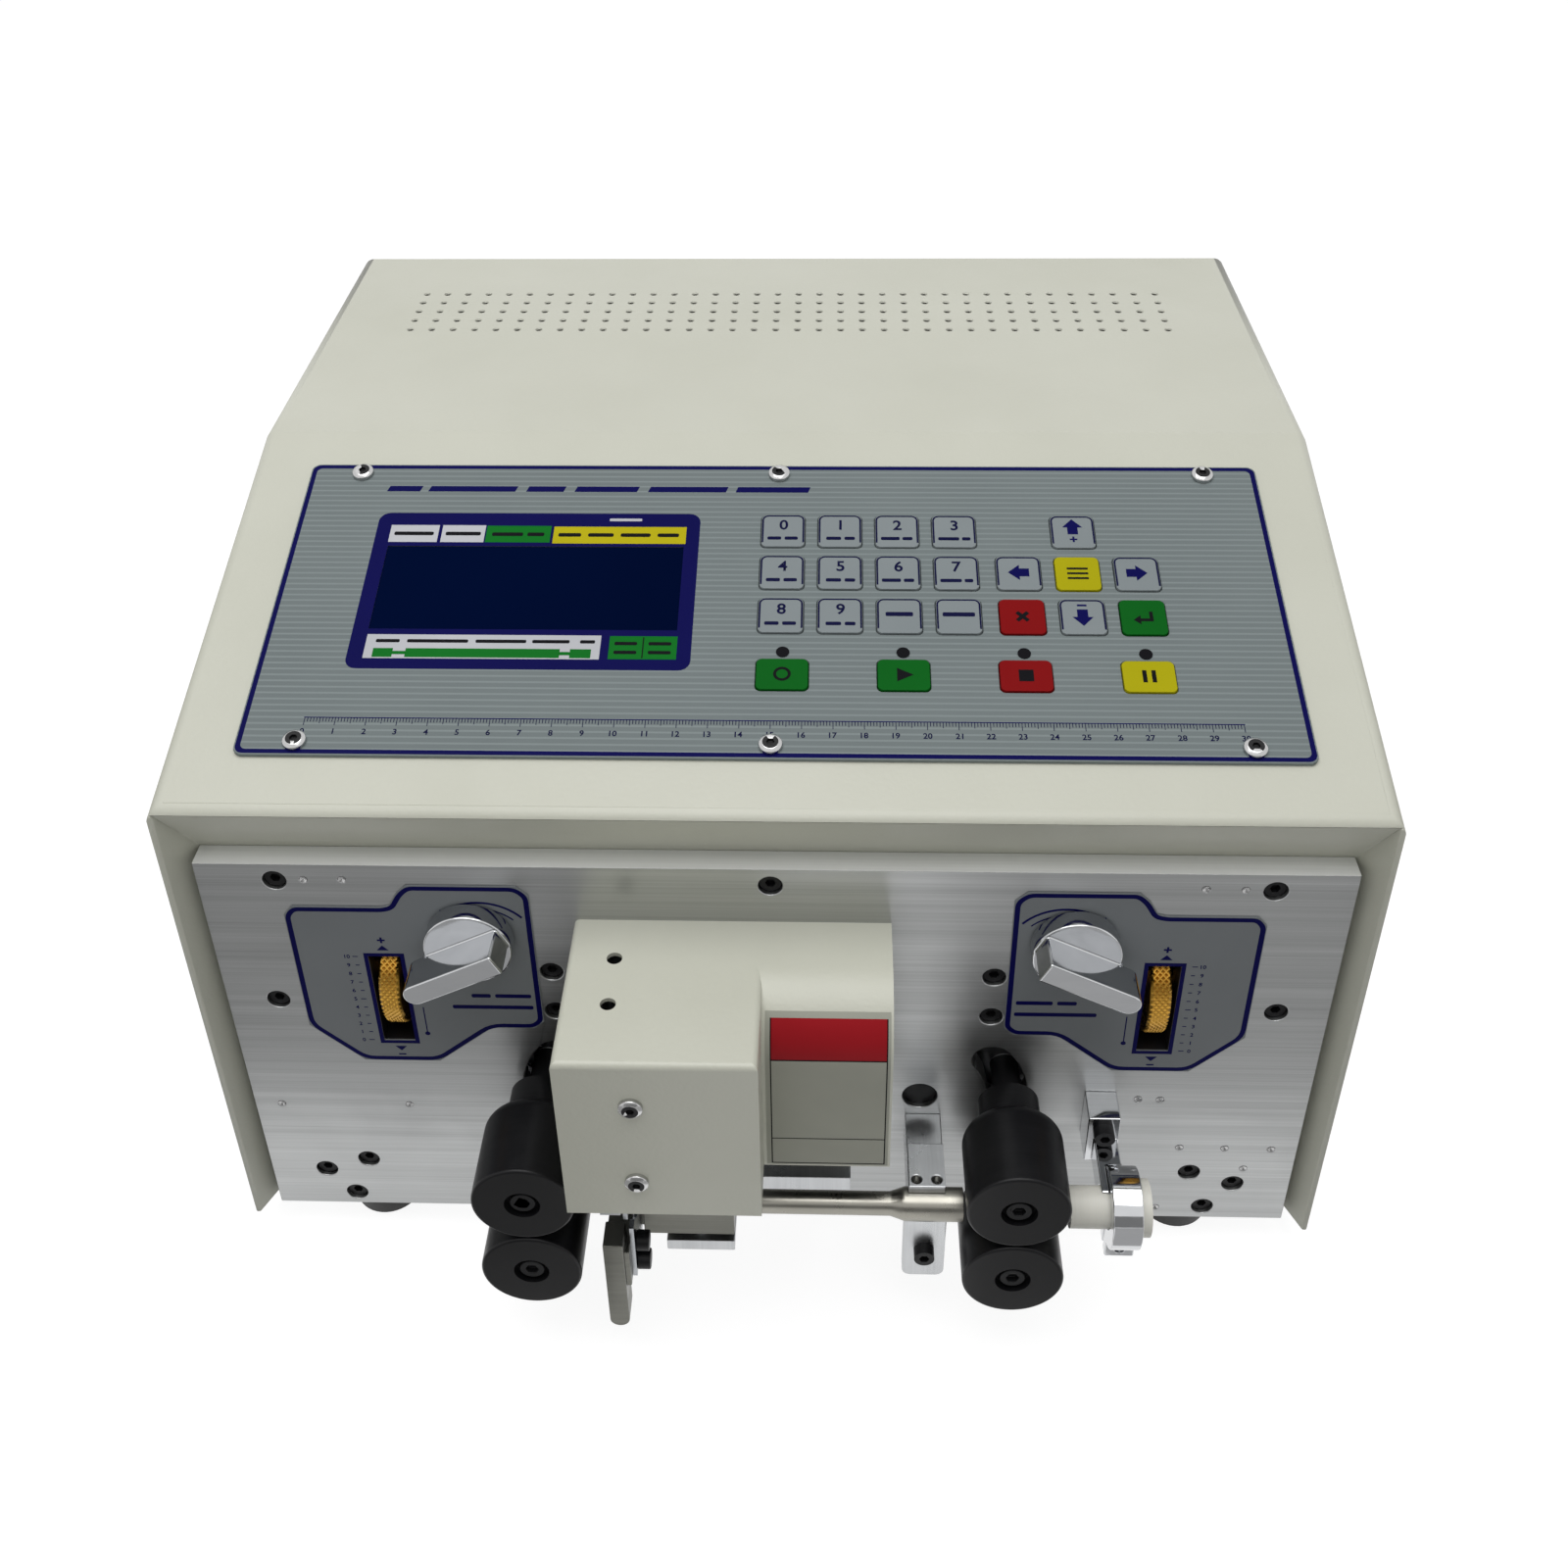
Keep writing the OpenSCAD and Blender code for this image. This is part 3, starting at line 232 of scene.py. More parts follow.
finishes = {
    "cream_paint": makeFinish(
        "creamPaint", (0.60, 0.605, 0.52), (0.565, 0.57, 0.485), (0.36, 0.48),
        grain=("peel", 620.0), bump=0.22, depth=0.0004, marks=14.0),
    "zinc_steel": makeFinish(
        "zincSheet", (0.46, 0.47, 0.48), (0.38, 0.39, 0.40), (0.32, 0.5), metal=1.0,
        grain=("peel", 240.0), bump=0.05, marks=25.0),
    "brushed_plate": makeFinish(
        "brushedPlate", (0.50, 0.51, 0.51), (0.32, 0.325, 0.325), (0.28, 0.42), metal=1.0,
        grain=("brush", (7.0, 60.0, 1700.0)), bump=0.25, depth=0.00008, marks=16.0),
    "bare_aluminium": makeFinish(
        "milledAluminium", (0.56, 0.57, 0.58), (0.44, 0.45, 0.46), (0.24, 0.38), metal=1.0,
        grain=("brush", (1300.0, 40.0, 40.0)), bump=0.12, depth=0.00008, marks=50.0),
    "label_film": makeFinish(
        "labelFilm", (0.215, 0.23, 0.24), (0.195, 0.21, 0.22), (0.38, 0.5), shine=0.2,
        grain=("peel", 900.0), bump=0.03, marks=35.0),
    "panel_film": makeFinish(
        "panelFilm", (0.178, 0.208, 0.21), (0.162, 0.19, 0.193), (0.36, 0.48), shine=0.12,
        grain=("peel", 900.0), bump=0.03, marks=18.0, extra=drawPanelLines),
    "display_glass": makeFinish(
        "displayGlass", (0.0008, 0.004, 0.026), (0.001, 0.005, 0.032), (0.16, 0.26),
        grain=("peel", 300.0), bump=0.01, marks=30.0, shine=0.0),
    "circuit_board": makeFinish(
        "circuitBoard", (0.02, 0.16, 0.07), (0.015, 0.11, 0.05), (0.3, 0.45),
        grain=("peel", 500.0), bump=0.1),
    "bright_screw": makeFinish(
        "nickelScrew", (0.58, 0.58, 0.58), (0.48, 0.48, 0.48), (0.16, 0.28), metal=1.0,
        grain=("brush", (900.0, 900.0, 90.0)), bump=0.05, marks=120.0),
    # black oxide of the black screws, also used as painted shade on the slot walls, in the screw sockets and
    # on the arms and shafts in front of the plate
    "black_screw": makeFinish(
        "blackOxideAndShade", (0.006, 0.006, 0.007), (0.012, 0.012, 0.013), (0.34, 0.5), shine=0.2,
        grain=("peel", 1500.0), bump=0.1, marks=120.0),
    "foot_rubber": makeFinish(
        "footRubber", (0.02, 0.02, 0.02), (0.03, 0.03, 0.03), (0.55, 0.75),
        grain=("peel", 900.0), bump=0.2),
    "motor_paint": makeFinish(
        "motorPaint", (0.03, 0.03, 0.032), (0.045, 0.045, 0.047), (0.35, 0.5),
        grain=("brush", (20.0, 900.0, 20.0)), bump=0.1),
    "black_plastic": makeFinish(
        "blackPlastic", (0.018, 0.018, 0.018), (0.026, 0.026, 0.026), (0.38, 0.52),
        grain=("peel", 1600.0), bump=0.15),
    "bright_steel": makeFinish(
        "brightPlating", (0.62, 0.63, 0.645), (0.55, 0.56, 0.575), (0.05, 0.16), metal=1.0,
        grain=("brush", (60.0, 60.0, 200.0)), bump=0.02, depth=0.00005, marks=90.0),
    "white_nylon": makeFinish(
        "turnedNylon", (0.78, 0.77, 0.70), (0.72, 0.71, 0.64), (0.38, 0.5),
        grain=("brush", (1200.0, 30.0, 30.0)), bump=0.08, marks=60.0),
    "ground_steel": makeFinish(
        "groundSteel", (0.44, 0.45, 0.46), (0.33, 0.335, 0.345), (0.22, 0.36), metal=1.0,
        grain=("brush", (40.0, 40.0, 1100.0)), bump=0.1, marks=60.0),
    "blade_steel": makeFinish(
        "bladeSteel", (0.40, 0.41, 0.43), (0.32, 0.33, 0.345), (0.18, 0.3), metal=1.0,
        grain=("brush", (40.0, 1500.0, 40.0)), bump=0.1, marks=60.0),
    "roller_rubber": makeFinish(
        "rollerRubber", (0.004, 0.004, 0.005), (0.008, 0.008, 0.009), (0.30, 0.44), shine=0.22,
        grain=("brush", (40.0, 1300.0, 40.0)), bump=0.12, depth=0.0001, marks=50.0),
    "wheel_brass": makeFinish(
        "wheelBrass", (0.66, 0.38, 0.07), (0.52, 0.28, 0.045), (0.22, 0.36), metal=1.0,
        grain=("peel", 900.0), bump=0.05, marks=90.0),
    # the plate's up-facing top face: rougher and nearly non-metal, and painted almost white as a painted
    # highlight of the light from above
    "plate_top_highlight": makeFinish(
        "plateTopHighlight", (0.94, 0.95, 0.94), (0.78, 0.79, 0.78), (0.5, 0.65), metal=0.1,
        grain=("brush", (7.0, 1500.0, 60.0)), bump=0.2, depth=0.00008, marks=16.0),
    # painted shade: steel darkened to stand for the shade the lower blade holder sits in
    "shade_dark_steel": makeFinish(
        "shadeDarkSteel", (0.17, 0.17, 0.15), (0.12, 0.12, 0.105), (0.30, 0.44), metal=1.0,
        grain=("brush", (40.0, 40.0, 1100.0)), bump=0.1, marks=60.0),
    # painted reflection: steel with a warm tint for the guide tube, standing in for the cream cover mirrored
    # in it
    "cover_reflection_steel": makeFinish(
        "coverReflectionSteel", (0.34, 0.33, 0.29), (0.27, 0.26, 0.23), (0.24, 0.36), metal=1.0,
        grain=("brush", (60.0, 60.0, 200.0)), bump=0.05, depth=0.00005, marks=90.0),
    "key_silver": makeFinish(
        "keySilver", (0.235, 0.265, 0.275), (0.215, 0.245, 0.255), (0.30, 0.42), shine=0.2,
        grain=("peel", 900.0), bump=0.03, marks=60.0),
    "key_green": makeFinish(
        "keyGreen", (0.005, 0.125, 0.013), (0.004, 0.11, 0.011), (0.28, 0.42), shine=0.03,
        grain=("peel", 900.0), bump=0.03, marks=60.0),
    "key_yellow": makeFinish(
        "keyYellow", (0.45, 0.41, 0.008), (0.41, 0.375, 0.007), (0.28, 0.42), shine=0.03,
        grain=("peel", 900.0), bump=0.03, marks=60.0),
    "key_red": makeFinish(
        "keyRed", (0.24, 0.007, 0.008), (0.21, 0.006, 0.007), (0.28, 0.42), shine=0.03,
        grain=("peel", 900.0), bump=0.03, marks=60.0),
}
inkColors = {"blue": (0.003, 0.003, 0.08), "navy": (0.005, 0.006, 0.045), "white": (0.56, 0.57, 0.60),
             "green": (0.006, 0.17, 0.018), "yellow": (0.54, 0.47, 0.010), "red": (0.36, 0.014, 0.02),
             "black": (0.006, 0.006, 0.008), "paper": (0.41, 0.415, 0.355)}
inkShade = 0.88
inks = {name: makeFinish(name + "Ink", color, [inkShade * part for part in color], (0.3, 0.42), shine=0.04,
                         grain=("peel", 1200.0), bump=0.02)
        for name, color in inkColors.items()}
for name, node in nodes.items():
    node.data.materials.clear()
    node.data.materials.append(finishes[slotOf[name]])
print("finishes:", len(finishes) + len(inks))


# outlines in millimetres
def rectOutline(x0, x1, y0, y1, r=0.0, steps=5):
    if r <= 0:
        return [(x0, y0), (x1, y0), (x1, y1), (x0, y1)]
    points = []
    corners = ((x1 - r, y0 + r, -90), (x1 - r, y1 - r, 0), (x0 + r, y1 - r, 90), (x0 + r, y0 + r, 180))
    for x, y, start in corners:
        points += arcPath(x, y, r, start, start + 90, steps)
    return points


def arcPath(x, y, r, fromDeg, toDeg, steps=16):
    turns = [math.radians(fromDeg + (toDeg - fromDeg) * k / steps) for k in range(steps + 1)]
    return [(x + r * math.cos(a), y + r * math.sin(a)) for a in turns]


def discOutline(x, y, r, steps=24):
    return arcPath(x, y, r, 0, 360 - 360 / steps, steps - 1)


def bandOutline(path, width):
    left, right = [], []
    for i, here in enumerate(path):
        run = (Vector(path[min(i + 1, len(path) - 1)]) - Vector(path[max(i - 1, 0)])).normalized()
        side = Vector((-run.y, run.x)) * width / 2
        left.append(tuple(Vector(here) + side))
        right.append(tuple(Vector(here) - side))
    return left + right[::-1]


def insetOutline(points, depth):
    inner = []
    for i, here in enumerate(points):
        a = (Vector(here) - Vector(points[i - 1])).normalized()
        b = (Vector(points[(i + 1) % len(points)]) - Vector(here)).normalized()
        side = Vector((-a.y - b.y, a.x + b.x)) * depth / (1 + a.dot(b))
        inner.append(tuple(Vector(here) + side))
    return inner


def roundOutline(points, r, steps=4):
    rounded = []
    for i, here in enumerate(points):
        here, before, after = Vector(here), Vector(points[i - 1]), Vector(points[(i + 1) % len(points)])
        a, b = (before - here).normalized(), (after - here).normalized()
        reach = min(r, 0.45 * (before - here).length, 0.45 * (after - here).length)
        for k in range(steps + 1):
            t = k / steps
            rounded.append(tuple(here + a * reach * (1 - t) ** 2 + b * reach * t ** 2))
    return rounded


def moved(points, x, y, turn=0.0, size=1.0):
    c, s = math.cos(math.radians(turn)) * size, math.sin(math.radians(turn)) * size
    return [(x + c * px - s * py, y + s * px + c * py) for px, py in points]


# an outline with its holes as a thin layer of ink
def flatMesh(loops, low, high):
    flat = [point for loop in loops for point in loop]
    count = len(flat)
    faces = []
    for a, b, c in tessellate_polygon([[Vector((x, y, 0)) for x, y in loop] for loop in loops]):
        ab, ac = Vector(flat[b]) - Vector(flat[a]), Vector(flat[c]) - Vector(flat[a])
        faces.append((a, b, c) if ab.x * ac.y > ab.y * ac.x else (a, c, b))
    start = 0
    for loop in loops:
        for i in range(len(loop)):
            j = start + (i + 1) % len(loop)
            faces.append((start + i + count, j + count, j, start + i))
        start += len(loop)
    mesh = bpy.data.meshes.new("ink")
    mesh.from_pydata([(x, y, high) for x, y in flat] + [(x, y, low) for x, y in flat], [], faces)
    return mesh


# plain numbers and marks from the built-in font, each one millimetre in size about its middle
glyphShape = {"resolution": 3, "bold": 0.02}


def drawGlyphs(words):
    holders = {}
    for word in words:
        curve = bpy.data.curves.new("glyph", "FONT")
        curve.body = word
        curve.resolution_u = glyphShape["resolution"]
        curve.offset = glyphShape["bold"]
        holders[word] = bpy.data.objects.new("glyph", curve)
        scene.collection.objects.link(holders[word])
    graph = bpy.context.evaluated_depsgraph_get()
    meshes = {}
    for word, holder in holders.items():
        mesh = bpy.data.meshes.new_from_object(holder.evaluated_get(graph))
        spread = [[v.co[axis] for v in mesh.vertices] for axis in (0, 1)]
        mesh.transform(Matrix.Translation([-(min(side) + max(side)) / 2 for side in spread] + [0]))
        meshes[word] = mesh
        bpy.data.objects.remove(holder)
    return meshes


glyphs = drawGlyphs([str(n) for n in range(31)] + ["I", "O"])


def glyphMesh(word, x, y, size, high):
    mesh = glyphs[word].copy()
    mesh.transform(Matrix.Translation((x, y, high)) @ Matrix.Scale(size, 4))
    return mesh


def makePrint(name, body, lay, layers):
    mesh = bpy.data.meshes.new(name)
    shape = bmesh.new()
    for index, (ink, parts) in enumerate(layers):
        mesh.materials.append(inks[ink])
        for part in parts:
            first = len(shape.faces)
            shape.from_mesh(part)
            shape.faces.ensure_lookup_table()
            for face in shape.faces[first:]:
                face.material_index = index
    shape.to_mesh(mesh)
    shape.free()
    mesh.transform(lay)
    piece = bpy.data.objects.new(name, mesh)
    scene.collection.objects.link(piece)
    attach(piece, body)
    return piece


# trees for what repeats
def newTree(name, inputs):
    tree = bpy.data.node_groups.new(name, "GeometryNodeTree")
    for label, kind in inputs.items():
        tree.interface.new_socket(label, in_out="INPUT", socket_type="NodeSocket" + kind)
    tree.interface.new_socket("Geometry", in_out="OUTPUT", socket_type="NodeSocketGeometry")
    return tree, tree.nodes.new("NodeGroupInput"), tree.nodes.new("NodeGroupOutput")


def joinAxes(tree, *values):
    node = addNode(tree, "ShaderNodeCombineXYZ")
    for socket, value in zip(node.inputs, values):
        if isinstance(value, bpy.types.NodeSocket):
            tree.links.new(value, socket)
        else:
            socket.default_value = value
    return node.outputs[0]


def endTree(tree, points, shape, end, skin, scale=None, turn=None):
    spread = addNode(tree, "GeometryNodeInstanceOnPoints")
    tree.links.new(points, spread.inputs["Points"])
    tree.links.new(shape, spread.inputs["Instance"])
    if scale:
        tree.links.new(scale, spread.inputs["Scale"])
    if turn:
        tree.links.new(turn, spread.inputs["Rotation"])
    real = addNode(tree, "GeometryNodeRealizeInstances")
    paint = addNode(tree, "GeometryNodeSetMaterial")
    tree.links.new(spread.outputs[0], real.inputs[0])
    tree.links.new(real.outputs[0], paint.inputs["Geometry"])
    tree.links.new(skin, paint.inputs["Material"])
    tree.links.new(paint.outputs[0], end.inputs[0])


# a row of scale lines, longer at every fifth and tenth
def makeTickTree():
    tree, start, end = newTree("tickRow", {
        "Count": "Int", "Pitch": "Float", "Short": "Float", "Middle": "Float", "Long": "Float",
        "Width": "Float", "Lift": "Float", "Ink": "Material"})
    row = addNode(tree, "GeometryNodeMeshLine", mode="OFFSET")
    tree.links.new(start.outputs["Count"], row.inputs["Count"])
    tree.links.new(joinAxes(tree, start.outputs["Pitch"], 0.0, 0.0), row.inputs["Offset"])
    index = addNode(tree, "GeometryNodeInputIndex").outputs[0]
    fifth = mathNode(tree, "LESS_THAN", mathNode(tree, "MODULO", index, 5.0), 0.5)
    tenth = mathNode(tree, "LESS_THAN", mathNode(tree, "MODULO", index, 10.0), 0.5)
    more = mathNode(tree, "SUBTRACT", start.outputs["Middle"], start.outputs["Short"])
    most = mathNode(tree, "SUBTRACT", start.outputs["Long"], start.outputs["Middle"])
    reach = mathNode(tree, "ADD", start.outputs["Short"], mathNode(tree, "MULTIPLY", fifth, more))
    reach = mathNode(tree, "ADD", reach, mathNode(tree, "MULTIPLY", tenth, most))
    block = addNode(tree, "GeometryNodeMeshCube")
    tree.links.new(joinAxes(tree, start.outputs["Width"], 1.0, start.outputs["Lift"]), block.inputs["Size"])
    hang = addNode(tree, "GeometryNodeTransform", {"Translation": (0, -0.5, 0)})
    tree.links.new(block.outputs["Mesh"], hang.inputs["Geometry"])
    size = joinAxes(tree, 1.0, reach, 1.0)
    endTree(tree, row.outputs[0], hang.outputs[0], end, start.outputs["Ink"], scale=size)
    return tree


# rows of small pyramids round a rim, every second row set off by half a step
def makeKnurlTree():
    tree, start, end = newTree("knurl", {"Around": "Int", "Rows": "Int", "Radius": "Float", "Pitch": "Float",
                                         "Height": "Float", "Base": "Float", "Skin": "Material"})
    around = start.outputs["Around"]
    row = addNode(tree, "GeometryNodeMeshLine")
    tree.links.new(mathNode(tree, "MULTIPLY", around, start.outputs["Rows"]), row.inputs["Count"])
    index = addNode(tree, "GeometryNodeInputIndex").outputs[0]
    line = mathNode(tree, "FLOOR", mathNode(tree, "DIVIDE", mathNode(tree, "ADD", index, 0.5), around))
    step = mathNode(tree, "SUBTRACT", index, mathNode(tree, "MULTIPLY", line, around))
    step = mathNode(tree, "ADD", step, mathNode(tree, "MULTIPLY", mathNode(tree, "MODULO", line, 2.0), 0.5))
    angle = mathNode(tree, "MULTIPLY", mathNode(tree, "DIVIDE", step, around), 2 * math.pi)
    middle = mathNode(tree, "MULTIPLY", mathNode(tree, "SUBTRACT", start.outputs["Rows"], 1.0), 0.5)
    across = mathNode(tree, "MULTIPLY", mathNode(tree, "SUBTRACT", line, middle), start.outputs["Pitch"])
    radius = start.outputs["Radius"]
    place = addNode(tree, "GeometryNodeSetPosition")
    tree.links.new(row.outputs[0], place.inputs["Geometry"])
    tree.links.new(joinAxes(tree, across, mathNode(tree, "MULTIPLY", radius, mathNode(tree, "COSINE", angle)),
                            mathNode(tree, "MULTIPLY", radius, mathNode(tree, "SINE", angle))),
                   place.inputs["Position"])
    point = addNode(tree, "GeometryNodeMeshCone", {"Vertices": 4, "Radius Top": 0.0})
    tree.links.new(start.outputs["Base"], point.inputs["Radius Bottom"])
    tree.links.new(start.outputs["Height"], point.inputs["Depth"])
    lean = joinAxes(tree, mathNode(tree, "SUBTRACT", angle, math.pi / 2), 0.0, 0.0)
    endTree(tree, place.outputs[0], point.outputs["Mesh"], end, start.outputs["Skin"], turn=lean)
    return tree


def growMesh(tree, values):
    holder = bpy.data.objects.new("grown", bpy.data.meshes.new("seed"))
    scene.collection.objects.link(holder)
    grow = holder.modifiers.new("grow", "NODES")
    grow.node_group = tree
    for item in tree.interface.items_tree:
        if item.in_out == "INPUT":
            grow[item.identifier] = values[item.name]
    mesh = bpy.data.meshes.new_from_object(holder.evaluated_get(bpy.context.evaluated_depsgraph_get()))
    bpy.data.objects.remove(holder)
    return mesh


tickTree = makeTickTree()
knurlTree = makeKnurlTree()
wheelKnurl = {"Around": 60, "Rows": 6, "Radius": 19.8, "Pitch": 0.98, "Height": 0.7, "Base": 1.0,
              "Skin": finishes["wheel_brass"]}
wheelSpot = {"x": 128.8, "y": 17.0, "z": 109.4}


def makeKnurl(side, sign):
    mesh = growMesh(knurlTree, wheelKnurl)
    mesh.transform(onMachine @ Matrix.Translation((sign * wheelSpot["x"], wheelSpot["y"], wheelSpot["z"])))
    piece = bpy.data.objects.new(side + "_knurl", mesh)
    scene.collection.objects.link(piece)
    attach(piece, side + "_wheel")


for side, sign in (("left", -1), ("right", 1)):
    makeKnurl(side, sign)
print("knurls ready")


# bars in place of printed words
barRound = 0.3


def wordBars(spans, y, height, low, high):
    return [flatMesh([rectOutline(x0, x1, y - height / 2, y + height / 2, height * barRound, 2)], low, high)
            for x0, x1 in spans]


def fields(boxes, low, high):
    return [flatMesh([rectOutline(*box)], low, high) for box in boxes]


# what is printed on the panel, places as (from, to) across and up the slope
panel = {"side": 171.0, "low": 16.2, "high": 147.0, "top": 1.5, "ink": 0.04, "corner": 3.0,
         "border": (0.5, 2.1)}
bezel = {"outer": (-141.8, -27.3, 51.3, 122.5), "window": (-136.5, -32.5, 68.49, 106.49), "corner": 4.0}
ruler = {"Count": 301, "Pitch": 1.0, "Short": 1.7, "Middle": 2.3, "Long": 3.1, "Width": 0.24, "Lift": 0.08}
rulerPlace = {"x": -150.3, "u": 31.0, "line": [(-150.6, 31.0), (150.0, 31.0)], "lineWidth": 0.4,
              "numbers": 31, "step": 10.0, "numberU": 25.5, "numberSize": 3.0}
wideKeys = {"x": 3.0, "pitch": 39.7, "light": 59.4, "lightR": 2.2, "lightHigh": 0.3}
title = {"low": 133.3, "high": 136.0, "lean": 0.9,
         "bars": [(-141.5, -129.5), (-126.5, -95), (-91, -77.5), (-73.5, -51), (-47, -19), (-15.5, 10.5)]}
screenFields = {
    "white": [(-136.8, -119.6, 108.3, 116.5), (-118.4, -103.1, 108.3, 116.5), (-136.3, -57.6, 55.7, 66.0)],
    "green": [(-102.6, -79.8, 108.3, 116.3), (-54.7, -32.1, 55.9, 65.8)],
    "yellow": [(-78.8, -32.0, 107.9, 116.0)]}
wireSign = [(-133.3, -126.7, 56.2, 60.0), (-122.4, -70.9, 56.2, 60.0), (-67.5, -60.5, 56.2, 60.0),
            (-126.8, -122.3, 57.4, 58.8), (-71, -67.4, 57.4, 58.8)]
fieldSplit = [(-43.6, -43.2, 56.4, 65.3)]
windowBar = {"spans": [(-59.5, -48)], "u": 119.4, "height": 1.3}
screenWords = [{"spans": [(-135.2, -121.2), (-117, -104.5)], "u": 112.4, "height": 1.7},
               {"spans": [(-100.5, -89.5), (-88, -82)], "u": 112.2, "height": 1.7},
               {"spans": [(-77, -69), (-66.5, -57.5), (-55, -44.5), (-42, -34.5)], "u": 112, "height": 1.7},
               {"spans": [(-133, -125), (-122.5, -102), (-99.5, -82.5), (-80.5, -68), (-64.5, -59.5)],
                "u": 63.2, "height": 1.4},
               {"spans": [(-53, -45.4), (-41.6, -34)], "u": 62.6, "height": 1.4},
               {"spans": [(-53, -45.4), (-41.6, -34)], "u": 58.8, "height": 1.4}]


def printPanel():
    top, side = panel["top"], panel["side"]
    one, two, three = (top + panel["ink"] * n for n in (1, 2, 3))
    low, high, corner = panel["low"], panel["high"], panel["corner"]
    outer, inner = (rectOutline(-side + d, side - d, low + d, high - d, corner - d / 2)
                    for d in panel["border"])
    frameLoops = [rectOutline(*bezel["outer"], bezel["corner"]), rectOutline(*bezel["window"])[::-1]]
    blue = [flatMesh([outer, inner[::-1]], top, one), flatMesh(frameLoops, top, one),
            flatMesh([bandOutline(rulerPlace["line"], rulerPlace["lineWidth"])], top, one)]
    lean = title["lean"]
    blue += [flatMesh([[(x0, title["low"]), (x1, title["low"]), (x1 + lean, title["high"]),
                        (x0 + lean, title["high"])]], top, one) for x0, x1 in title["bars"]]
    ticks = growMesh(tickTree, {**ruler, "Ink": inks["navy"]})
    ticks.transform(Matrix.Translation((rulerPlace["x"], rulerPlace["u"], top)))
    navy = [ticks] + [glyphMesh(str(n), rulerPlace["x"] + rulerPlace["step"] * n, rulerPlace["numberU"],
                                rulerPlace["numberSize"], one) for n in range(rulerPlace["numbers"])]
    white = fields(screenFields["white"], one, two)
    white += wordBars(windowBar["spans"], windowBar["u"], windowBar["height"], one, two)
    green = fields(screenFields["green"], one, two) + fields(wireSign, two, three)
    yellow = fields(screenFields["yellow"], one, two)
    black = fields(fieldSplit, two, three)
    for words in screenWords:
        black += wordBars(words["spans"], words["u"], words["height"], two, three)
    for n in range(4):
        light = discOutline(wideKeys["x"] + n * wideKeys["pitch"], wideKeys["light"], wideKeys["lightR"])
        black.append(flatMesh([light], top, top + wideKeys["lightHigh"]))
    makePrint("panel_print", "machine", onSlope, [("blue", blue), ("navy", navy), ("white", white),
                                                  ("green", green), ("yellow", yellow), ("black", black)])


# what is printed on the keys, about each key's middle
keyGrid = {"row": 114.038, "rowPitch": 19.489, "digit": 2.0, "digitPitch": 19.9, "arrow": 82.9,
           "arrowPitch": 20.1, "wide": 49.816, "top": 2.1}
digitKeys = [str(n) for n in range(10)] + ["clear", "program"]
arrowKeys = {"up": (1, 0), "left": (0, 1), "system": (1, 1), "right": (2, 1), "cancel": (0, 2),
             "down": (1, 2), "enter": (2, 2)}
keyLine = {"half": 7.1, "foot": -5.6, "corner": 5.1, "r": 2.0, "steps": 5, "width": 0.6}
keyDigit = {"x": 0.2, "u": 2.8, "size": 6.4, "captionU": -3.6, "captionHeight": 1.5}
sampleRing = {"outer": 2.9, "inner": 1.9}
arrowShape = [(-1.8, -3.6), (1.8, -3.6), (1.8, -0.3), (3.5, -0.3), (0, 3.6), (-3.5, -0.3), (-1.8, -0.3)]
plusShape = [(-0.35, -1.3), (0.35, -1.3), (0.35, -0.35), (1.3, -0.35), (1.3, 0.35), (0.35, 0.35), (0.35, 1.3),
             (-0.35, 1.3), (-0.35, 0.35), (-1.3, 0.35), (-1.3, -0.35), (-0.35, -0.35)]
minusShape = [(-1.6, -0.4), (1.6, -0.4), (1.6, 0.4), (-1.6, 0.4)]
cornerArrow = [(-3.4, -1.2), (-1.0, -3.2), (-1.0, -1.8), (3.2, -1.8), (3.2, 2.4), (2.0, 2.4), (2.0, -0.6),
               (-1.0, -0.6), (-1.0, 0.8)]
keySigns = {"key_up": [("blue", moved(arrowShape, 0, 2.4)), ("blue", moved(plusShape, 0, -3.6))],
            "key_down": [("blue", moved(arrowShape, 0, -0.4, 180)), ("blue", moved(minusShape, 0, 5.0))],
            "key_left": [("blue", moved(arrowShape, 0, 0.3, 90))],
            "key_right": [("blue", moved(arrowShape, 0, 0.3, -90))],
            "key_clear": [("navy", rectOutline(-4.6, 4.6, -0.2, 1.6, 0.5))],
            "key_program": [("navy", rectOutline(-5.4, 5.4, -0.2, 1.6, 0.5))],
            "key_system": [("black", rectOutline(-3.6, 3.6, y - 0.45, y + 0.45, 0.3))
                           for y in (-2.2, 0, 2.2)],
            "key_cancel": [("black", moved(plusShape, 0, 0, 45, 2.0))],
            "key_enter": [("black", cornerArrow)],
            "key_start": [("black", [(-2.2, -2.8), (3.2, 0), (-2.2, 2.8)])],
            "key_stop": [("black", rectOutline(-2.4, 2.4, -2.4, 2.4))],
            "key_pause": [("black", rectOutline(x - 0.7, x + 0.7, -2.5, 2.5)) for x in (-1.5, 1.5)]}
captions = [[(-5.4, -0.6), (0.6, 5.2)], [(-4.8, 0.4), (1.6, 5.2)], [(-5.6, 0.9), (1.9, 5.4)],
            [(-5.6, 1.7), (2.7, 5.6)]]


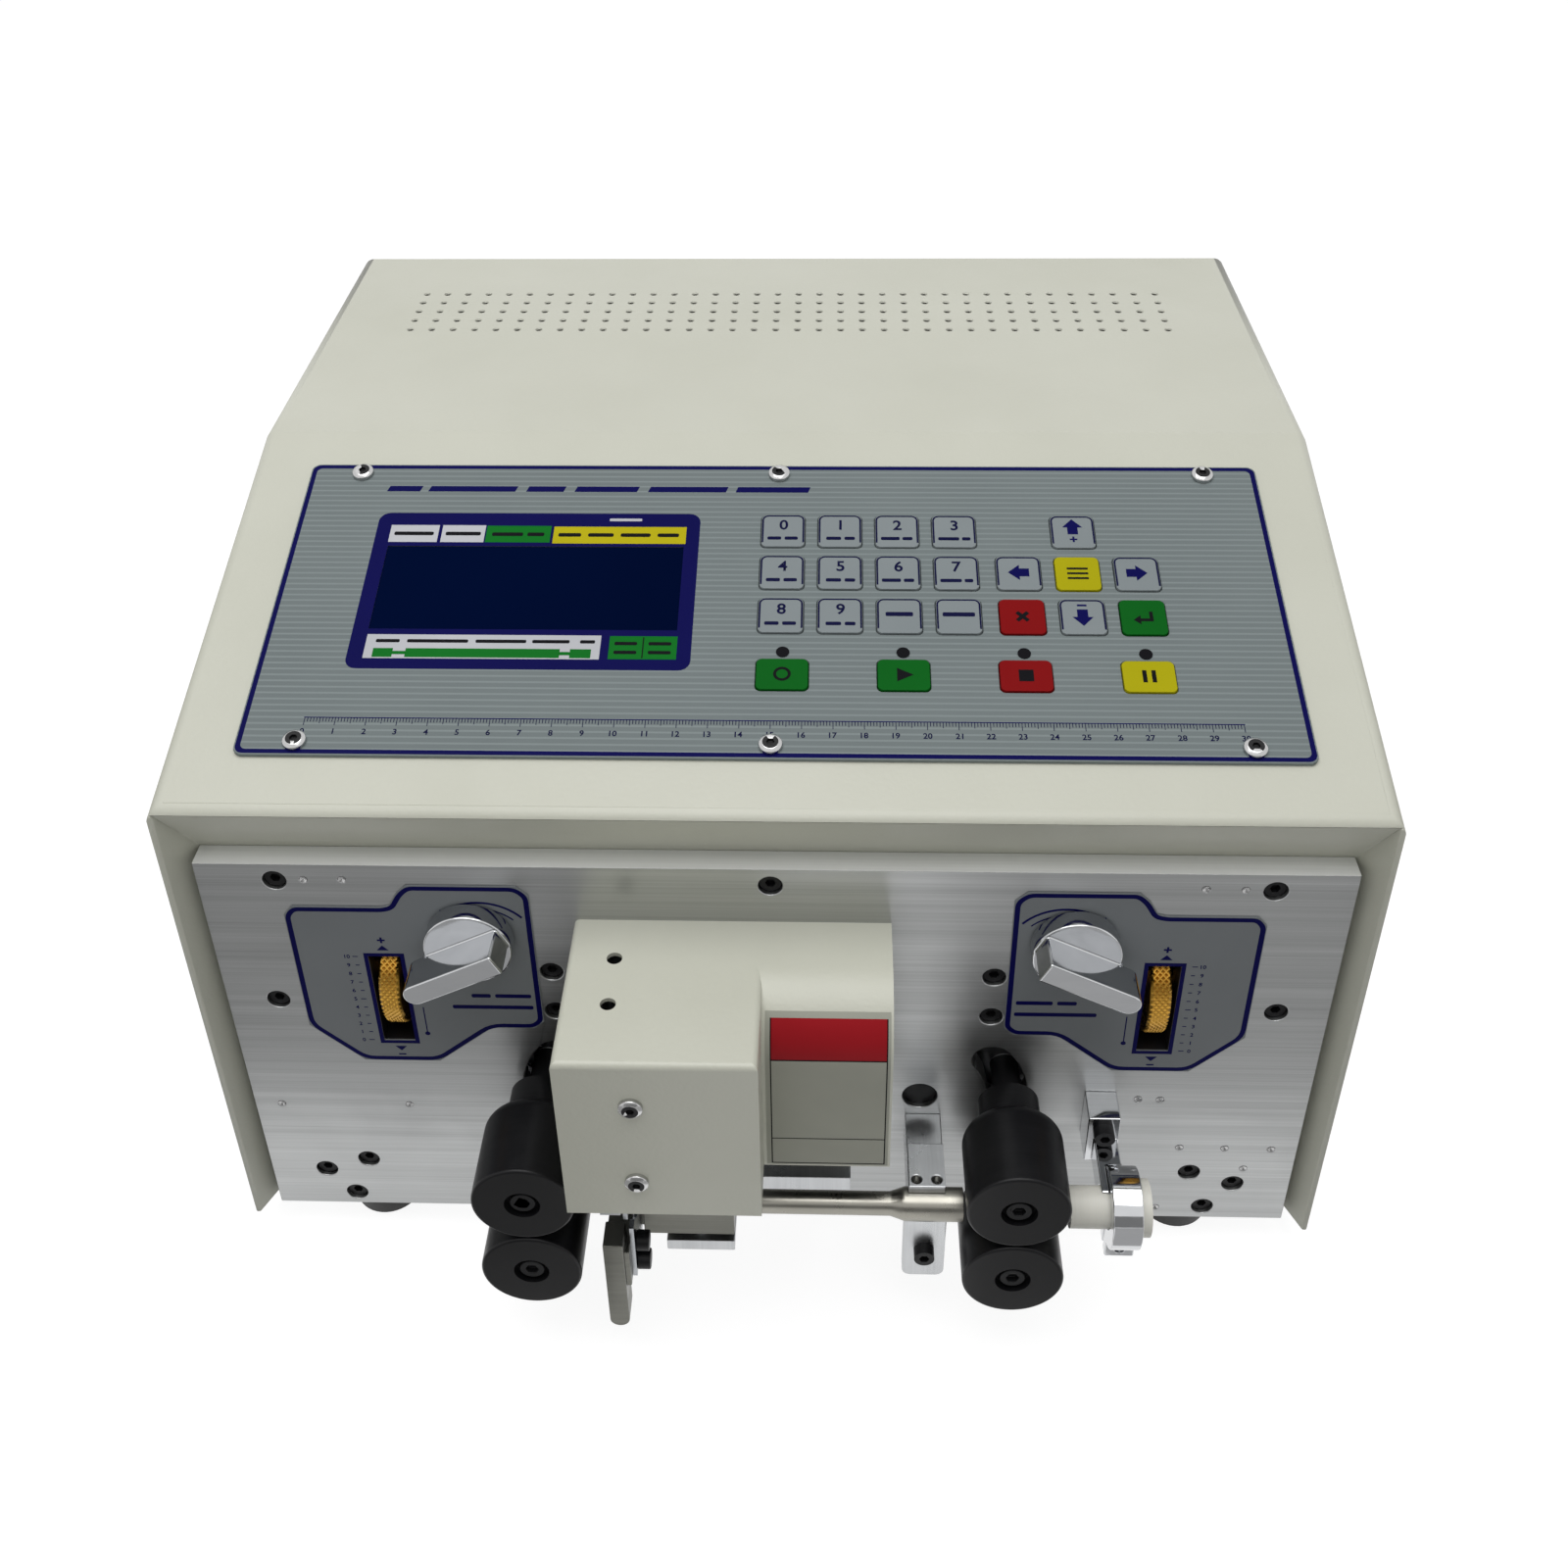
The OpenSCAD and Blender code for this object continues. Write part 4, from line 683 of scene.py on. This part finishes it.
def keyMiddles():
    places = {}
    for n, name in enumerate(digitKeys):
        places["key_" + name] = (keyGrid["digit"] + n % 4 * keyGrid["digitPitch"],
                                 keyGrid["row"] - n // 4 * keyGrid["rowPitch"])
    for name, (column, row) in arrowKeys.items():
        places["key_" + name] = (keyGrid["arrow"] + column * keyGrid["arrowPitch"],
                                 keyGrid["row"] - row * keyGrid["rowPitch"])
    for n, name in enumerate(("sample", "start", "stop", "pause")):
        places["key_" + name] = (wideKeys["x"] + n * wideKeys["pitch"], keyGrid["wide"])
    return places


def keyOutline():
    half, foot, corner = keyLine["half"], keyLine["foot"], keyLine["corner"]
    edge = [(-half, foot), (-half, corner)]
    edge += arcPath(-corner, corner, keyLine["r"], 180, 90, keyLine["steps"])
    edge += arcPath(corner, corner, keyLine["r"], 90, 0, keyLine["steps"])
    return edge + [(half, corner), (half, foot)]


def printKeys():
    low = keyGrid["top"]
    high = low + panel["ink"]
    for name, (x, u) in keyMiddles().items():
        layers = {"navy": [], "blue": [], "black": []}
        if slotOf[name] == "key_silver":
            layers["navy"].append(flatMesh([bandOutline(keyOutline(), keyLine["width"])[::-1]], low, high))
        digit = name[len("key_"):]
        if digit.isdigit():
            layers["navy"].append(glyphMesh(digit, keyDigit["x"], keyDigit["u"], keyDigit["size"], high))
            layers["navy"] += wordBars(captions[int(digit) % len(captions)], keyDigit["captionU"],
                                       keyDigit["captionHeight"], low, high)
        for ink, outline in keySigns.get(name, []):
            layers[ink].append(flatMesh([outline], low, high))
        if name == "key_sample":
            ring = [discOutline(0, 0, sampleRing["outer"]), discOutline(0, 0, sampleRing["inner"])[::-1]]
            layers["black"].append(flatMesh(ring, low, high))
        makePrint(name + "_print", name + "_cap", onSlope @ Matrix.Translation((x, u, 0)),
                  [(ink, parts) for ink, parts in layers.items() if parts])


# what is printed on the two gap labels, drawn for the right one
gapLabel = {"film": 0.5, "ink": 0.04, "slot": (128.8, 109.4, 10.8, 40.4), "ring": 1.4, "round": 4.0,
            "margin": 0.25, "line": 1.7,
            "edge": [(82, 161.4), (78, 157.5), (78, 99.5), (81.5, 96.2), (96, 96.2), (116, 79.2),
                     (142.2, 79.2), (159.2, 96.3), (159.2, 148), (156.2, 151.7), (127, 151.7), (124, 152.5),
                     (121, 158), (117.5, 161.4)]}
gapScale = {"Count": 11, "Pitch": 4.0, "Short": 1.3, "Middle": 1.8, "Long": 1.8, "Width": 0.3, "Lift": 0.08}
gapPlace = {"scaleX": 137.6, "numberX": 141.2, "numberSize": 2.3, "half": 20}
slotSigns = {"tipFoot": 23, "tip": 25.2, "tipHalf": 2, "plus": 27.6, "minus": 27, "minusSize": 0.8}
turnArrow = {"middle": (95, 136.2), "wide": (18.2, 140, 50), "wideWidth": 0.8, "narrow": (15.4, 136, 60),
             "narrowWidth": 0.5, "tip": [(-1.3, 0), (1.3, 0), (0, 2.6)], "tipAt": (106.7, 150.2, -130)}
pointer = {"line": [(118.7, 105.7), (118.7, 93.6)], "width": 0.4, "dot": (118.7, 92.9, 0.9, 12)}
labelBars = [{"spans": [(81.3, 93.5), (95, 101.5)], "z": 111.6}, {"spans": [(81, 108.5)], "z": 106.2}]
labelBarHeight = 1.7


def gapMarks():
    x, z, w, h = gapLabel["slot"]
    ring = gapLabel["ring"]
    outer = insetOutline(roundOutline(gapLabel["edge"], gapLabel["round"]), gapLabel["margin"])
    slot = rectOutline(x - w / 2, x + w / 2, z - h / 2, z + h / 2)
    border = rectOutline(x - w / 2 - ring, x + w / 2 + ring, z - h / 2 - ring, z + h / 2 + ring)
    foot, tip, half = slotSigns["tipFoot"], slotSigns["tip"], slotSigns["tipHalf"]
    return [[outer, insetOutline(outer, gapLabel["line"])[::-1]], [border, slot[::-1]],
            [[(x - half, z + foot), (x + half, z + foot), (x, z + tip)]],
            [[(x - half, z - foot), (x, z - tip), (x + half, z - foot)]],
            [moved(plusShape, x, z + slotSigns["plus"])],
            [moved(minusShape, x, z - slotSigns["minus"], 0, slotSigns["minusSize"])],
            [bandOutline(arcPath(*turnArrow["middle"], *turnArrow["wide"]), turnArrow["wideWidth"])],
            [bandOutline(arcPath(*turnArrow["middle"], *turnArrow["narrow"]), turnArrow["narrowWidth"])],
            [moved(turnArrow["tip"], *turnArrow["tipAt"])],
            [bandOutline(pointer["line"], pointer["width"])], [discOutline(*pointer["dot"])]]


def printGapLabel(side, sign):
    low = gapLabel["film"]
    high = low + gapLabel["ink"]
    z, half = gapLabel["slot"][1], gapPlace["half"]
    parts = [flatMesh(loops, low, high) for loops in gapMarks()]
    for bars in labelBars:
        parts += wordBars(bars["spans"], bars["z"], labelBarHeight, low, high)
    ticks = growMesh(tickTree, {**gapScale, "Ink": inks["navy"]})
    ticks.transform(Matrix.Translation((gapPlace["scaleX"], z + half, low))
                    @ Matrix.Rotation(math.radians(-90), 4, "Z") @ Matrix.Scale(-1, 4, (0, 1, 0)))
    parts.append(ticks)
    if sign < 0:
        for part in parts:
            part.transform(Matrix.Scale(-1, 4, (1, 0, 0)))
            part.flip_normals()
    parts += [glyphMesh(str(n), sign * gapPlace["numberX"], z - half + gapScale["Pitch"] * n,
                        gapPlace["numberSize"], high) for n in range(gapScale["Count"])]
    makePrint(side + "_gap_print", "machine", onPlate, [("blue", parts)])


# blank label on the cover's rounded front: a film with a plain red band and thin lines, each an ink with its
# place across, its place up the front from the foot, and its height off the paint
cover = {"front": -41.0, "foot": 78.0, "bend": 125.0, "r": 22.0, "step": 1.0}
coverLabel = [("paper", -0.9, 38.2, 0.6, 66.0, 0.05), ("red", 1.0, 36.9, 50.1, 63.9, 0.08),
              ("black", 0.6, 1.0, 1.2, 63.9, 0.08), ("black", 36.9, 37.3, 1.2, 63.9, 0.08),
              ("black", 1.0, 36.9, 49.6, 50.1, 0.08), ("black", 1.0, 36.9, 13.2, 13.6, 0.08),
              ("black", 1.0, 36.9, 1.2, 1.6, 0.08)]


def coverSheet(x0, x1, s0, s1, off):
    straight = cover["bend"] - cover["foot"]
    steps = max(1, int((s1 - s0) / cover["step"]))
    rows = []
    for k in range(steps + 1):
        s = s0 + (s1 - s0) * k / steps
        a = math.pi - max(0, s - straight) / cover["r"]
        z = cover["foot"] + s if s < straight else cover["bend"] + cover["r"] * math.sin(a)
        y = cover["front"] + cover["r"] * (1 + math.cos(a))
        rows.append((y + off * math.cos(a), z + off * math.sin(a)))
    mesh = bpy.data.meshes.new("sheet")
    mesh.from_pydata([(x, y, z) for y, z in rows for x in (x0, x1)], [],
                     [(2 * k, 2 * k + 1, 2 * k + 3, 2 * k + 2) for k in range(steps)])
    return mesh


def printCover():
    layers = {}
    for ink, *spans in coverLabel:
        layers.setdefault(ink, []).append(coverSheet(*spans))
    piece = makePrint("cover_label", "machine", onMachine, list(layers.items()))
    for face in piece.data.polygons:
        face.use_smooth = True


# on and off marks on the rocker
rocker = {"spot": (150.0, 326.4, 45.0), "tilt": 9.0, "half": 9.5, "rise": 1.2, "thick": 5.0, "mark": 5.0,
          "ink": 0.05}


def printRocker():
    length = math.hypot(rocker["half"], rocker["rise"])
    run, lean = rocker["half"] / length, rocker["rise"] / length
    tilt = Matrix.Rotation(math.radians(rocker["tilt"]), 4, "X")
    at = onMachine @ Matrix.Translation(rocker["spot"]) @ tilt
    for word, way in (("I", 1), ("O", -1)):
        turn = Matrix(((-1, 0, 0, 0), (0, way * lean, run, 0), (0, run, -way * lean, 0), (0, 0, 0, 1)))
        place = Matrix.Translation((0, rocker["thick"] - rocker["rise"] / 2, way * rocker["half"] / 2))
        mark = glyphMesh(word, 0, 0, rocker["mark"], rocker["ink"])
        makePrint("rocker_mark_" + word, "switch", at @ place @ turn, [("white", [mark])])


# bright drilled spots at the plate's tapped holes
spots = {"r": 1.28, "start": 0.1, "deep": 0.9, "ring": 14,
         "at": [(-150.5, 163.0), (-138, 163.2), (138, 163.2), (150.5, 163.0), (-176, 55), (-130, 55.5),
                (126.7, 64.2), (134.4, 64), (144, 38.8), (160, 38.7), (176.4, 38.5), (168, 27.9), (139, 5.4)]}


def makeSpots():
    points, faces = [], []
    ring = spots["ring"]
    for x, z in spots["at"]:
        first = len(points)
        points += [(px, spots["start"], pz) for px, pz in discOutline(x, z, spots["r"], ring)]
        points.append((x, spots["deep"], z))
        faces += [(first + k, first + ring, first + (k + 1) % ring) for k in range(ring)]
    mesh = bpy.data.meshes.new("plate_spots")
    mesh.from_pydata(points, [], faces)
    mesh.transform(onMachine)
    mesh.materials.append(finishes["bright_screw"])
    piece = bpy.data.objects.new("plate_spots", mesh)
    scene.collection.objects.link(piece)
    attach(piece, "machine")


makeSpots()
printPanel()
printKeys()
printGapLabel("left", -1)
printGapLabel("right", 1)
printCover()
printRocker()
print("prints ready")


# faces with a finish of their own, told by their middle in millimetres and by their direction
accentAt = {"facing": 0.9, "plateTop": 165, "slotFront": 0.1, "slotSlack": 0.2, "front": 9, "rear": 300}
# sockets of the bright screws on the slope and on the cover (across, up); faces inside them are painted black
# as painted shade in the recess
sockets = {"r": 1.4, "slope": [(x, u) for x in (-151.7, 0, 151.7) for u in (21.3, 142.3)], "slopeHigh": 2.0,
           "cover": [(-40.8, 94.3), (-40.8, 129)], "coverFront": -61.2}
# heads of the blade holder's clamp bolts
clampBolts = {"x": -47.0, "y": -40.0, "r": 3.7}


# up-facing faces on the plate's top, which get the painted highlight
def onPlateEdge(spot, way):
    return way.z > accentAt["facing"] and spot.z > accentAt["plateTop"]


# walls inside the gap wheels' slots, painted black as painted shade in the slot
def onSlotWall(spot, way):
    x, z, w, h = gapLabel["slot"]
    slack = accentAt["slotSlack"]
    inside = abs(abs(spot.x) - x) < w / 2 + slack and abs(spot.z - z) < h / 2 + slack
    return inside and spot.y > accentAt["slotFront"]


def inFront(spot, way):
    return spot.y < accentAt["front"]


def onRearFace(spot, way):
    return way.y > accentAt["facing"] and spot.y > accentAt["rear"]


def nearAny(x, y, places, r):
    return any(math.hypot(x - px, y - py) < r for px, py in places)


# faces inside a bright screw's socket, painted black as painted shade
def inSocket(spot, way):
    up = onSlope.inverted() @ onMachine @ spot
    if up.z > sockets["slopeHigh"] and nearAny(up.x, up.y, sockets["slope"], sockets["r"]):
        return True
    return spot.y < sockets["coverFront"] and nearAny(spot.x, spot.z, sockets["cover"], sockets["r"])


def onClampBolt(spot, way):
    return spot.x > clampBolts["x"] and abs(spot.y - clampBolts["y"]) < clampBolts["r"]


def onAll(spot, way):
    return True


# painted light among these: a painted highlight on the plate's top, painted shade on the slot walls, in the
# screw sockets and on the lower blade holder, a painted reflection on the guide tube
accents = {"front_plate": [("plate_top_highlight", onPlateEdge), ("black_screw", onSlotWall)],
           "chassis": [("cream_paint", onRearFace)], "button_screws": [("black_screw", inSocket)],
           "lower_blade_holder": [("shade_dark_steel", onAll), ("black_screw", onClampBolt)],
           "guide_tube": [("cover_reflection_steel", onAll)]}
accents.update({side + part: [("black_screw", inFront)]
                for side in ("left", "right") for part in ("_swing_arm", "_drive_shaft")})


def paintAccents(mesh, name):
    back = onMachine.inverted()
    for index, (finish, test) in enumerate(accents.get(name, []), 1):
        mesh.materials.append(finishes[finish])
        for face in mesh.polygons:
            if test(back @ face.center, face.normal):
                face.material_index = index


# a copy of a CAD solid with its longer edges rounded
soften = {"merge": 2e-6, "flatDeg": 0.6, "evenWeight": 80}


def softenNode(name, width, shortest=0.0, segments=2, angle=30):
    mesh = nodes[name].data.copy()
    shape = bmesh.new()
    shape.from_mesh(mesh)
    bmesh.ops.remove_doubles(shape, verts=shape.verts, dist=soften["merge"])
    bmesh.ops.dissolve_limit(shape, angle_limit=math.radians(soften["flatDeg"]), verts=shape.verts,
                             edges=shape.edges)
    weight = shape.edges.layers.float.new("bevel_weight_edge")
    for edge in shape.edges:
        sharp = len(edge.link_faces) == 2 and edge.calc_face_angle() > math.radians(angle)
        if sharp and edge.calc_length() > shortest:
            edge[weight] = 1.0
    for face in shape.faces:
        face.smooth = True
    shape.to_mesh(mesh)
    shape.free()
    if "custom_normal" in mesh.attributes:
        mesh.attributes.remove(mesh.attributes["custom_normal"])
    paintAccents(mesh, name)
    piece = bpy.data.objects.new(name + "_soft", mesh)
    scene.collection.objects.link(piece)
    edge = piece.modifiers.new("softEdge", "BEVEL")
    edge.width = width
    edge.segments = segments
    edge.limit_method = "WEIGHT"
    edge.use_clamp_overlap = False
    edge.miter_outer = "MITER_ARC"
    even = piece.modifiers.new("evenShade", "WEIGHTED_NORMAL")
    even.mode = "FACE_AREA"
    even.weight = soften["evenWeight"]
    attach(piece, bodyOf[name])
    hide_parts(name)


# width and shortest edge in metres, then segments and smallest angle where they differ
softEdges = {"housing": (0.0005, 0.004), "chassis": (0.0004, 0.004), "front_plate": (0.0004, 0.0),
             "guide_clamp": (0.0004, 0.0), "guide_tube": (0.0002, 0.0, 2, 50),
             "inlet_bracket": (0.0005, 0.0, 2, 50), "control_panel": (0.00025, 0.0),
             "lower_blade_holder": (0.0004, 0.0), "blade_frame": (0.0004, 0.0),
             "button_screws": (0.0002, 0.0)}
for side in ("left", "right"):
    softEdges.update({side + "_swing_arm": (0.0003, 0.0), side + "_drive_shaft": (0.0003, 0.0),
                      side + "_lift_lever": (0.0007, 0.0)})
softEdges.update({name: (0.00025, 0.0) for name in nodes if name.startswith("key_")})
for name, sizes in softEdges.items():
    softenNode(name, *sizes)
print("soft edges:", len(softEdges))


# stage: pale floor that keeps the shadow, studio light, white beyond
stage = {"floor": 8.0, "matt": 0.9, "white": 0.72, "glow": 1.24, "bounce": 0.5, "sky": 0.32}


def viewRays(tree):
    path = addNode(tree, "ShaderNodeLightPath")
    seen = mathNode(tree, "MAXIMUM", path.outputs["Is Camera Ray"], path.outputs["Is Glossy Ray"])
    return mathNode(tree, "MAXIMUM", seen, path.outputs["Is Transmission Ray"])


def makeFloor():
    mesh = bpy.data.meshes.new("paleFloor")
    half = stage["floor"]
    corners = [(-half, -half, 0), (half, -half, 0), (half, half, 0), (-half, half, 0)]
    mesh.from_pydata(corners, [], [(0, 1, 2, 3)])
    floor = bpy.data.objects.new("paleFloor", mesh)
    scene.collection.objects.link(floor)
    material = bpy.data.materials.new("paleFloor")
    material.use_nodes = True
    tree = material.node_tree
    tree.nodes.clear()
    out = addNode(tree, "ShaderNodeOutputMaterial")
    bounce = addNode(tree, "ShaderNodeBsdfDiffuse", {"Color": (*[stage["bounce"]] * 3, 1)})
    matt = addNode(tree, "ShaderNodeBsdfDiffuse", {"Color": (*[stage["matt"]] * 3, 1)})
    glow = addNode(tree, "ShaderNodeEmission", {"Color": (1, 1, 1, 1), "Strength": stage["glow"]})
    shown = addNode(tree, "ShaderNodeMixShader", {0: stage["white"]})
    blend = addNode(tree, "ShaderNodeMixShader")
    tree.links.new(matt.outputs[0], shown.inputs[1])
    tree.links.new(glow.outputs[0], shown.inputs[2])
    tree.links.new(viewRays(tree), blend.inputs[0])
    tree.links.new(bounce.outputs[0], blend.inputs[1])
    tree.links.new(shown.outputs[0], blend.inputs[2])
    tree.links.new(blend.outputs[0], out.inputs[0])
    mesh.materials.append(material)


def makeSky():
    world = bpy.data.worlds.new("studioSky")
    scene.world = world
    world.use_nodes = True
    tree = world.node_tree
    sky = tree.nodes["Background"]
    sky.inputs["Color"].default_value = (1, 1, 1, 1)
    tree.links.new(rangeNode(tree, viewRays(tree), stage["sky"], 1.0), sky.inputs["Strength"])


lamps = [
    {"name": "ceilingPanel", "spot": (-0.1, -0.3, 1.9), "aim": (0, 0, 0.15), "size": (1.8, 1.4),
     "watts": 23.5},
    {"name": "frontPanel", "spot": (-1.1, -1.7, 0.9), "aim": (0, -0.1, 0.12), "size": (1.0, 1.0),
     "watts": 0.4},
]


# grey cards that only mirror-like surfaces see
cards = [
    {"name": "leftCard", "low": (-0.9, -1.1, 0.001), "high": (-0.06, -0.2, 0.001), "level": 0.42},
    {"name": "middleCard", "low": (-0.06, -1.1, 0.001), "high": (0.07, -0.2, 0.001), "level": 1.15},
    {"name": "rightCard", "low": (0.07, -1.1, 0.001), "high": (0.9, -0.2, 0.001), "level": 0.5},
    {"name": "frontCard", "low": (-1.2, -1.5, 0.0), "high": (1.2, -1.5, 0.8), "level": 0.25},
]


def makeCards():
    for card in cards:
        (x0, y0, z0), (x1, y1, z1) = card["low"], card["high"]
        mesh = bpy.data.meshes.new(card["name"])
        mesh.from_pydata([(x0, y0, z0), (x1, y0, z0), (x1, y1, z1), (x0, y1, z1)], [], [(0, 1, 2, 3)])
        material = bpy.data.materials.new(card["name"])
        material.use_nodes = True
        tree = material.node_tree
        tree.nodes.clear()
        out = addNode(tree, "ShaderNodeOutputMaterial")
        glow = addNode(tree, "ShaderNodeEmission", {"Strength": card["level"]})
        tree.links.new(glow.outputs[0], out.inputs[0])
        mesh.materials.append(material)
        piece = bpy.data.objects.new(card["name"], mesh)
        scene.collection.objects.link(piece)
        piece.visible_camera = False
        piece.visible_diffuse = False
        piece.visible_shadow = False
        piece.visible_transmission = False


def makeLamps():
    for lamp in lamps:
        data = bpy.data.lights.new(lamp["name"], "AREA")
        data.shape = "RECTANGLE"
        data.size, data.size_y = lamp["size"]
        data.energy = lamp["watts"]
        holder = bpy.data.objects.new(lamp["name"], data)
        scene.collection.objects.link(holder)
        holder.location = lamp["spot"]
        aim = Vector(lamp["aim"]) - Vector(lamp["spot"])
        holder.rotation_euler = aim.to_track_quat("-Z", "Y").to_euler()


makeFloor()
makeSky()
makeCards()
makeLamps()
print("stage ready")
